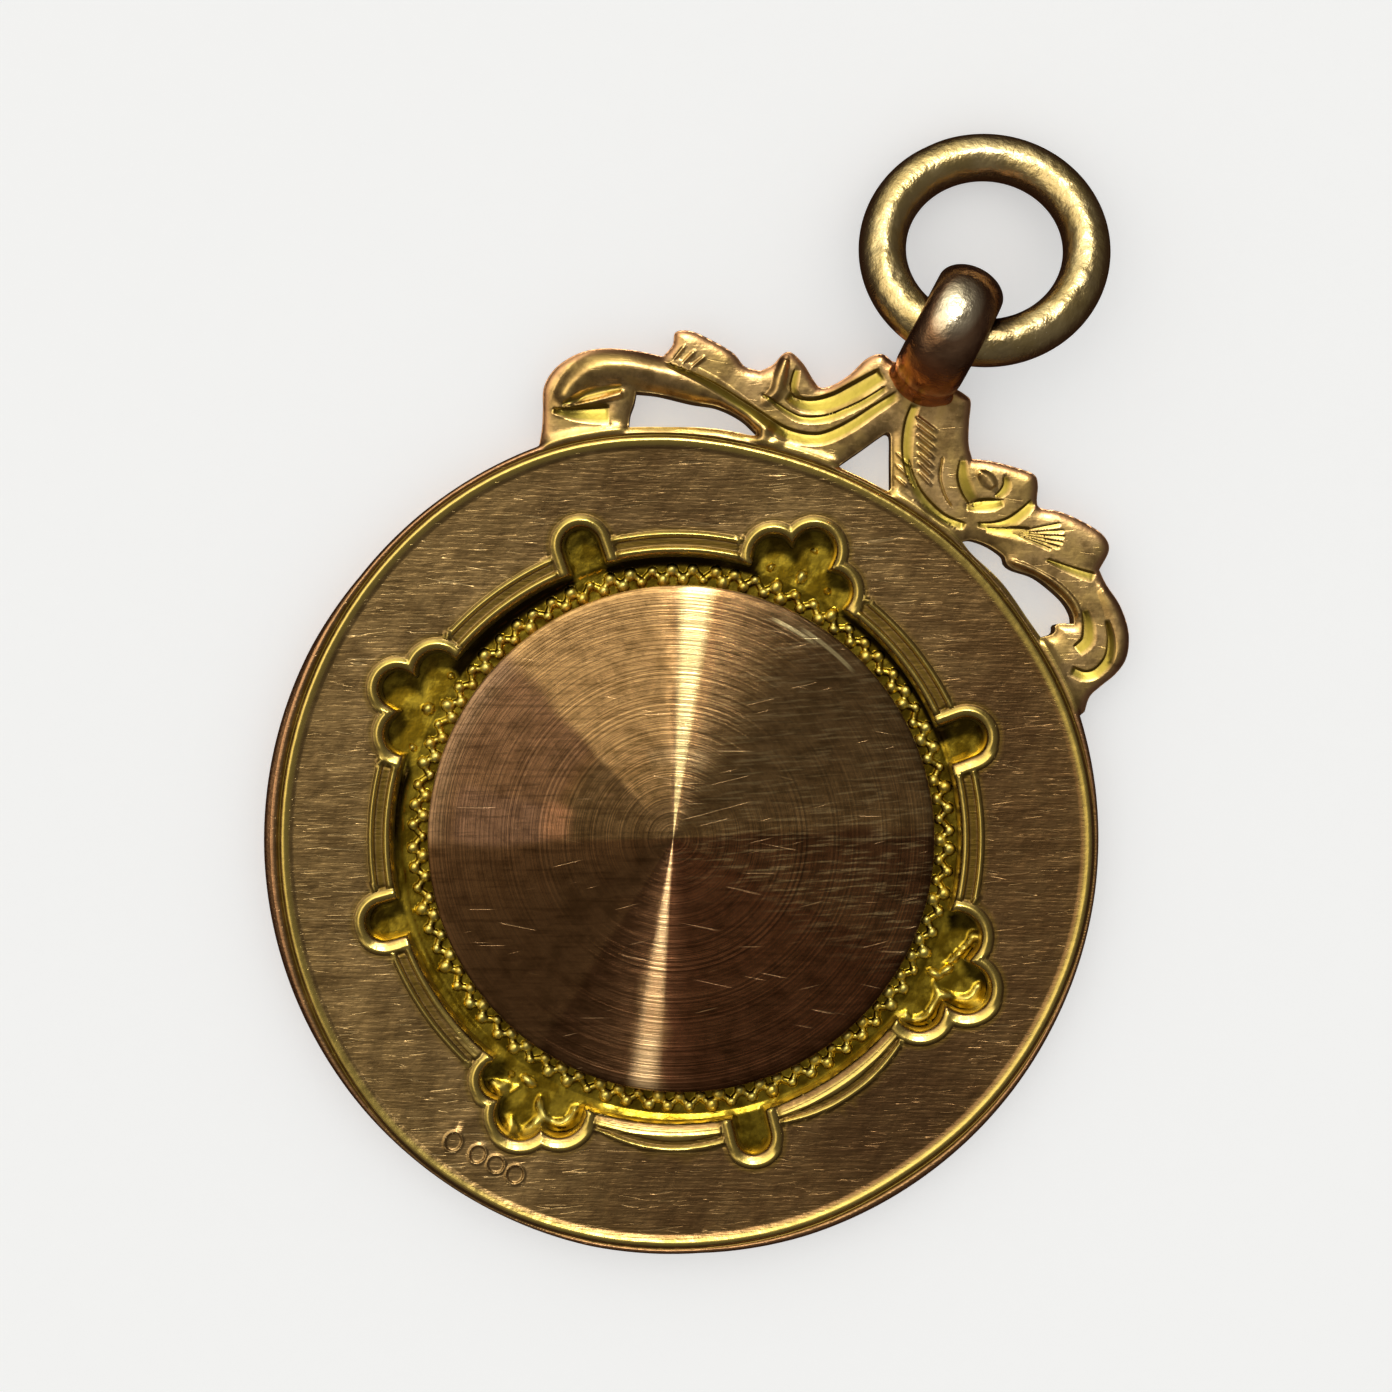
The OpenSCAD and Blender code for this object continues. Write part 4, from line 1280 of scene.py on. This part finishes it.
def disc_look():
    """Rose gold turned on a lathe: concentric marks, fine scratches across them, painted light and shade in
    sectors, painted highlights along two rays, and nicks painted as glints.
    """
    look = Look("centre_disc")
    flat = look.vector("MULTIPLY", look.vector("SUBTRACT", look.place, (*TURNED_CENTRE, 0)), (1, 1, 0))
    radius = look.vector("LENGTH", flat, out=1)
    outward = look.vector("NORMALIZE", flat)
    x, y = look.part(flat, 0), look.part(flat, 1)
    ray = look.times(look.math("ARCTAN2", look.times(y, -1.0), look.times(x, -1.0)), 180 / math.pi)
    wander = look.times(look.math("SUBTRACT", look.noise(0.6, 3.0), 0.5), 8.0)
    turned = look.math("ADD", ray, wander)
    rings = look.noise(7.0, 4.0, 0.7, look.pair(radius))
    grain = look.noise(1.0, 3.0, 0.6, look.pair(look.times(radius, 6.0), look.times(turned, 0.2)))
    flecks = look.streaks(BRUSHED, 1.6, 0.12, 2.0, 3.0)
    scratches = scratched(look, DISC_SCRATCHES, 0.74)

    def sector(at, start, end, inner, outer, soft):
        """1 between two angles, measured from the left, and between two distances from the centre."""
        across = look.times(look.spread(at, start - soft, start + soft),
                            look.spread(at, end + soft, end - soft))
        along = look.times(look.spread(radius, inner - 0.3, inner + 0.3),
                           look.spread(radius, outer + 0.2, outer - 0.2))
        return look.times(across, along)

    colour = look.overlaid((0.42, 0.23, 0.105), look.noise(0.3, 4.0, 0.6), 0.35, 0.65, 1, (0.54, 0.33, 0.16))
    colour = look.overlaid(colour, grain, 0.35, 0.7, 0.5, (0.2, 0.1, 0.045))
    # Painted light and shade in sectors of the turned face
    for start, end, inner, outer, amount, overlay in DISC_PAINTED_LIGHT_AND_SHADE:
        colour = look.over(colour, sector(turned, start, end, inner, outer, 2.5), amount, overlay)
    mottle = look.noise(1.6, 5.0, 0.65)
    colour = look.overlaid(colour, mottle, 0.4, 0.68, 0.75, (0.52, 0.5, 0.46), "MULTIPLY")
    colour = look.overlaid(colour, flecks, 0.45, 0.7, 0.6, (0.5, 0.47, 0.44), "MULTIPLY")
    # Painted highlights along the two rays where the turned face catches the key light
    for start, end, inner, outer, amount, painted_highlight in DISC_PAINTED_HIGHLIGHTS:
        colour = look.over(colour, sector(ray, start, end, inner, outer, 2.0), amount, painted_highlight)
    bands = look.noise(2.6, 3.0, 0.7, look.pair(radius, 5.0))
    colour = look.overlaid(colour, bands, 0.5, 0.62, 0.25, (0.6, 0.54, 0.48), "MULTIPLY")
    # Nicks painted as bright glints
    for start, end, reach in DISC_GLINTING_NICKS:
        apart = look.math("ABSOLUTE", look.math("SUBTRACT", radius, reach))
        there = look.times(look.spread(apart, 0.09, 0.03), sector(ray, start, end, 0, 9, 2.0))
        colour = look.mixed(there, colour, (1.0, 0.85, 0.5))
    dense = look.spread(look.streaks(BRUSHED + 4, 1.1, 0.1, 31.0, 3.0), 0.5, 0.68, 0.42)
    upper_right = look.times(look.spread(x, -1.5, 1.5), look.spread(y, -1.5, 1.5))
    colour = look.over(colour, dense, upper_right, (0.75, 0.58, 0.34))
    colour = look.over(colour, scratches, 0.3, (0.85, 0.6, 0.36))
    normal = look.bump(scratches, -0.0025, look.bump(rings, 0.027, look.leaned(outward, DISC_LEAN)))
    return look.metal(colour, look.between(grain, 0.16, 0.24), normal, 1.0, outward)


def ring_look():
    """Satin yellow gold, with painted shade that makes its sides browner and a painted shadow near the eye.
    """
    look = Look("jump_ring")
    grain = look.noise(14.0, 3.0, 0.6)
    colour = look.overlaid((0.74, 0.58, 0.28), look.noise(0.9, 4.0, 0.6), 0.35, 0.65, 1, (0.9, 0.74, 0.42))
    # Painted shade: the sides, whose normals lean away from straight up, turn browner and darker
    colour = look.overlaid(colour, look.part(look.normal(), 2), 0.85, 0.1, 1, (0.56, 0.31, 0.16))
    # Painted shadow where the ring runs under the eye
    to_eye = look.vector("DISTANCE", look.place, RING_PAINTED_SHADOW, out=1)
    colour = look.overlaid(colour, to_eye, 1.15, 0.55, 0.9, (0.05, 0.02, 0.01))
    normal = look.bump(grain, 0.008, look.bump(look.noise(2.2, 4.0), 0.06))
    return look.metal(colour, look.between(grain, 0.2, 0.3), normal)


def floor_look():
    """Plain and pale, with a glow of its own that keeps shadows on it faint."""
    look = Look("floor")
    grain = look.noise(1.5, 3.0)
    inputs = {"Base Color": look.mixed(grain, (0.82, 0.82, 0.81), (0.84, 0.84, 0.83)), "Roughness": 0.8,
              "Emission Color": (1.0, 1.0, 0.99, 1), "Emission Strength": FLOOR_GLOW,
              "Normal": look.bump(grain, 0.01)}
    look.node("OutputMaterial", {"Surface": look.node("BsdfPrincipled", inputs)})
    return look.material


# Light, floor and camera

# Glows that gloss sees, in a room that is ROOM_LOW below and ROOM_HIGH above. Columns: azimuth, angle from
# straight up, tightness, colour
GLOWS = [(120, 38, 30.0, (1.9, 1.75, 1.35)), (162, 32, 22.0, (1.1, 1.0, 0.78)),
         (135, 64, 12.0, (0.85, 0.78, 0.56)), (200, 40, 16.0, (0.95, 0.8, 0.52))]
ROOM_LOW = (0.025, 0.014, 0.009)
ROOM_HIGH = (0.12, 0.105, 0.078)

# What all other light comes from, and the floor's own glow
AMBIENT = (0.55, 0.55, 0.546)
FLOOR_GLOW = 0.43

# Key light: azimuth and angle from straight up, width, height and distance in metres, power, colour
KEY_LIGHT = (112, 30, 0.012, 0.1, 0.4, 0.28, (1.0, 0.93, 0.78))

# Half size of the floor in metres, how far it lies under the medal in millimetres, where the camera is in
# millimetres and the focal length of its lens
FLOOR_HALF = 3
FLOOR_GAP = 0.01
CAMERA_AT = (-1.63, 4.15, 91.3)
LENS = 75


def direction(azimuth, zenith):
    """Unit vector towards a compass angle (0 along +X, 90 along +Y) and an angle from straight up."""
    a, z = math.radians(azimuth), math.radians(zenith)
    return Vector((math.sin(z) * math.cos(a), math.sin(z) * math.sin(a), math.cos(z)))


def key_light():
    """Rectangular light aimed at the disc."""
    azimuth, zenith, width, height, distance, power, colour = KEY_LIGHT
    data = bpy.data.lights.new("key", "AREA")
    data.shape = "RECTANGLE"
    data.size, data.size_y = width, height
    data.energy = power
    data.color = colour
    light = in_scene("key", data)
    way = direction(azimuth, zenith)
    light.location = way * distance
    light.rotation_euler = way.to_track_quat("Z", "Y").to_euler()
    light.visible_diffuse = False


def surroundings():
    """Even pale light for the floor. Gloss sees a dim warm room with glows on the upper and left sides."""
    world = bpy.data.worlds.new("studio")
    bpy.context.scene.world = world
    nodes = Nodes(world)
    way = nodes.node("TexCoord", out="Generated")
    height = nodes.node("MapRange", {0: nodes.part(way, 2), 1: -0.3, 2: 1.0})
    room = nodes.mixed(height, ROOM_LOW, ROOM_HIGH)
    for azimuth, zenith, tightness, colour in GLOWS:
        facing = nodes.vector("DOT_PRODUCT", way, direction(azimuth, zenith), out=1)
        amount = nodes.math("EXPONENT", nodes.times(nodes.math("SUBTRACT", facing, 1.0), tightness))
        room = nodes.mixed(1.0, room, nodes.vector("SCALE", colour, scale=amount), "ADD")
    seen = nodes.mixed(nodes.node("LightPath", out="Is Glossy Ray"), AMBIENT, room)
    nodes.node("OutputWorld", {0: nodes.node("Background", {0: seen, 1: 1.0})})


def floor():
    """Large square that the medal lies on, which gloss doesn't see."""
    mesh = bpy.data.meshes.new("floor")
    corners = [(x * FLOOR_HALF, y * FLOOR_HALF, 0) for x, y in ((-1, -1), (1, -1), (1, 1), (-1, 1))]
    mesh.from_pydata(corners, [], [(0, 1, 2, 3)])
    obj = in_scene("floor", mesh)
    obj.location.z = -FLOOR_GAP * MM
    obj.data.materials.append(floor_look())
    obj.visible_glossy = False


def camera():
    """Looks straight down, turned so that the medal lies as in the photograph."""
    data = bpy.data.cameras.new("camera")
    data.lens = LENS
    data.sensor_width = 36
    data.clip_start = 0.001
    obj = in_scene("camera", data)
    obj.location = [distance * MM for distance in CAMERA_AT]
    obj.rotation_euler = (0, 0, math.radians(PHOTO_TURN))
    bpy.context.scene.camera = obj


def made_piece(obj, node, looks):
    """Gives a piece its materials, hides the solid that it stands for, and hangs it under the root."""
    for look in looks:
        obj.data.materials.append(look)
    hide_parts(node)
    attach(obj, "root")


def make_frame():
    """Plate, crest and eye in one piece, with the masks that its material reads."""
    shell, edges = frame_shell()
    plate = shell.object("plate")
    united(plate, eye_object())
    obj = finished("frame_medal", plate.data, 40)
    obj.data.materials.clear()  # the union leaves an empty place for one
    bpy.data.objects.remove(plate)
    for name, values in frame_relief(read(obj.data.vertices, "co")[:, :2] / MM, edges)[1].items():
        store(obj, name, values)
    x, y, z = read(obj.data.polygons, "center").T / MM
    on_eye = (np.abs(x - EYE_POS[0]) < EYE_REACH) & (y > EYE_START_Y)
    on_eye &= (z > PLATE_TOP + 0.05) | (y > EYE_FOOT_Y)
    top = (z > RELIEF_FROM_Z) & (read(obj.data.polygons, "normal")[:, 2] > 0.1) & ~on_eye
    set_relief_normals(obj, lambda xy: frame_relief(xy, edges)[0], top)
    made_piece(obj, "frame", [plate_look(), eye_look()])
    obj.data.polygons.foreach_set("material_index", on_eye.astype(np.int32))


def panel_shade(flat, z):
    """How dark the panel is from 0 to 1: under its walls on the upper left, where the light doesn't reach,
    in two of the narrow lobes, and low down between the beads."""
    radius, angle = polar(flat)
    wall = np.max([to_opening(flat + np.array(SHADE_WAY) * reach) for reach in SHADE_REACHES], axis=0)
    shade = smoothstep(-0.22, -0.02, wall) * smoothstep(8.38, 8.56, radius)
    upper_left, _, lower_right, _ = [np.abs(angle - lobe[0]) < 8 for lobe in NARROW_LOBES]
    narrow = (radius > 8.75) & (upper_left | lower_right)
    shade = np.maximum(shade * (1 - 0.13 * smoothstep(8.8, 9.2, radius)), 0.5 * narrow)
    between = 0.5 * smoothstep(8.64, 8.58, radius) * smoothstep(PANEL_Z + 0.08, PANEL_Z + 0.02, z)
    return np.maximum(shade, between) * (radius > 7.9)


def make_panel():
    """Stamped panel, with the masks that its material reads."""
    obj = panel_shell().object("panel_stamped", 50)
    points = read(obj.data.vertices, "co") / MM
    flat, z = points[:, :2], points[:, 2]
    store(obj, "low", smoothstep(0.1, 0.04, z - floor_swell(flat) - PANEL_Z))
    store(obj, "shade", panel_shade(flat, z))
    made_piece(obj, "stamped_panel", [panel_look()])


camera()
surroundings()
key_light()
floor()
make_frame()
make_panel()
made_piece(lathe("disc_turned", disc_profile(), 256), "centre_disc", [disc_look()])
made_piece(ring_object(), "jump_ring", [ring_look()])

bpy.context.scene.view_settings.view_transform = "Standard"
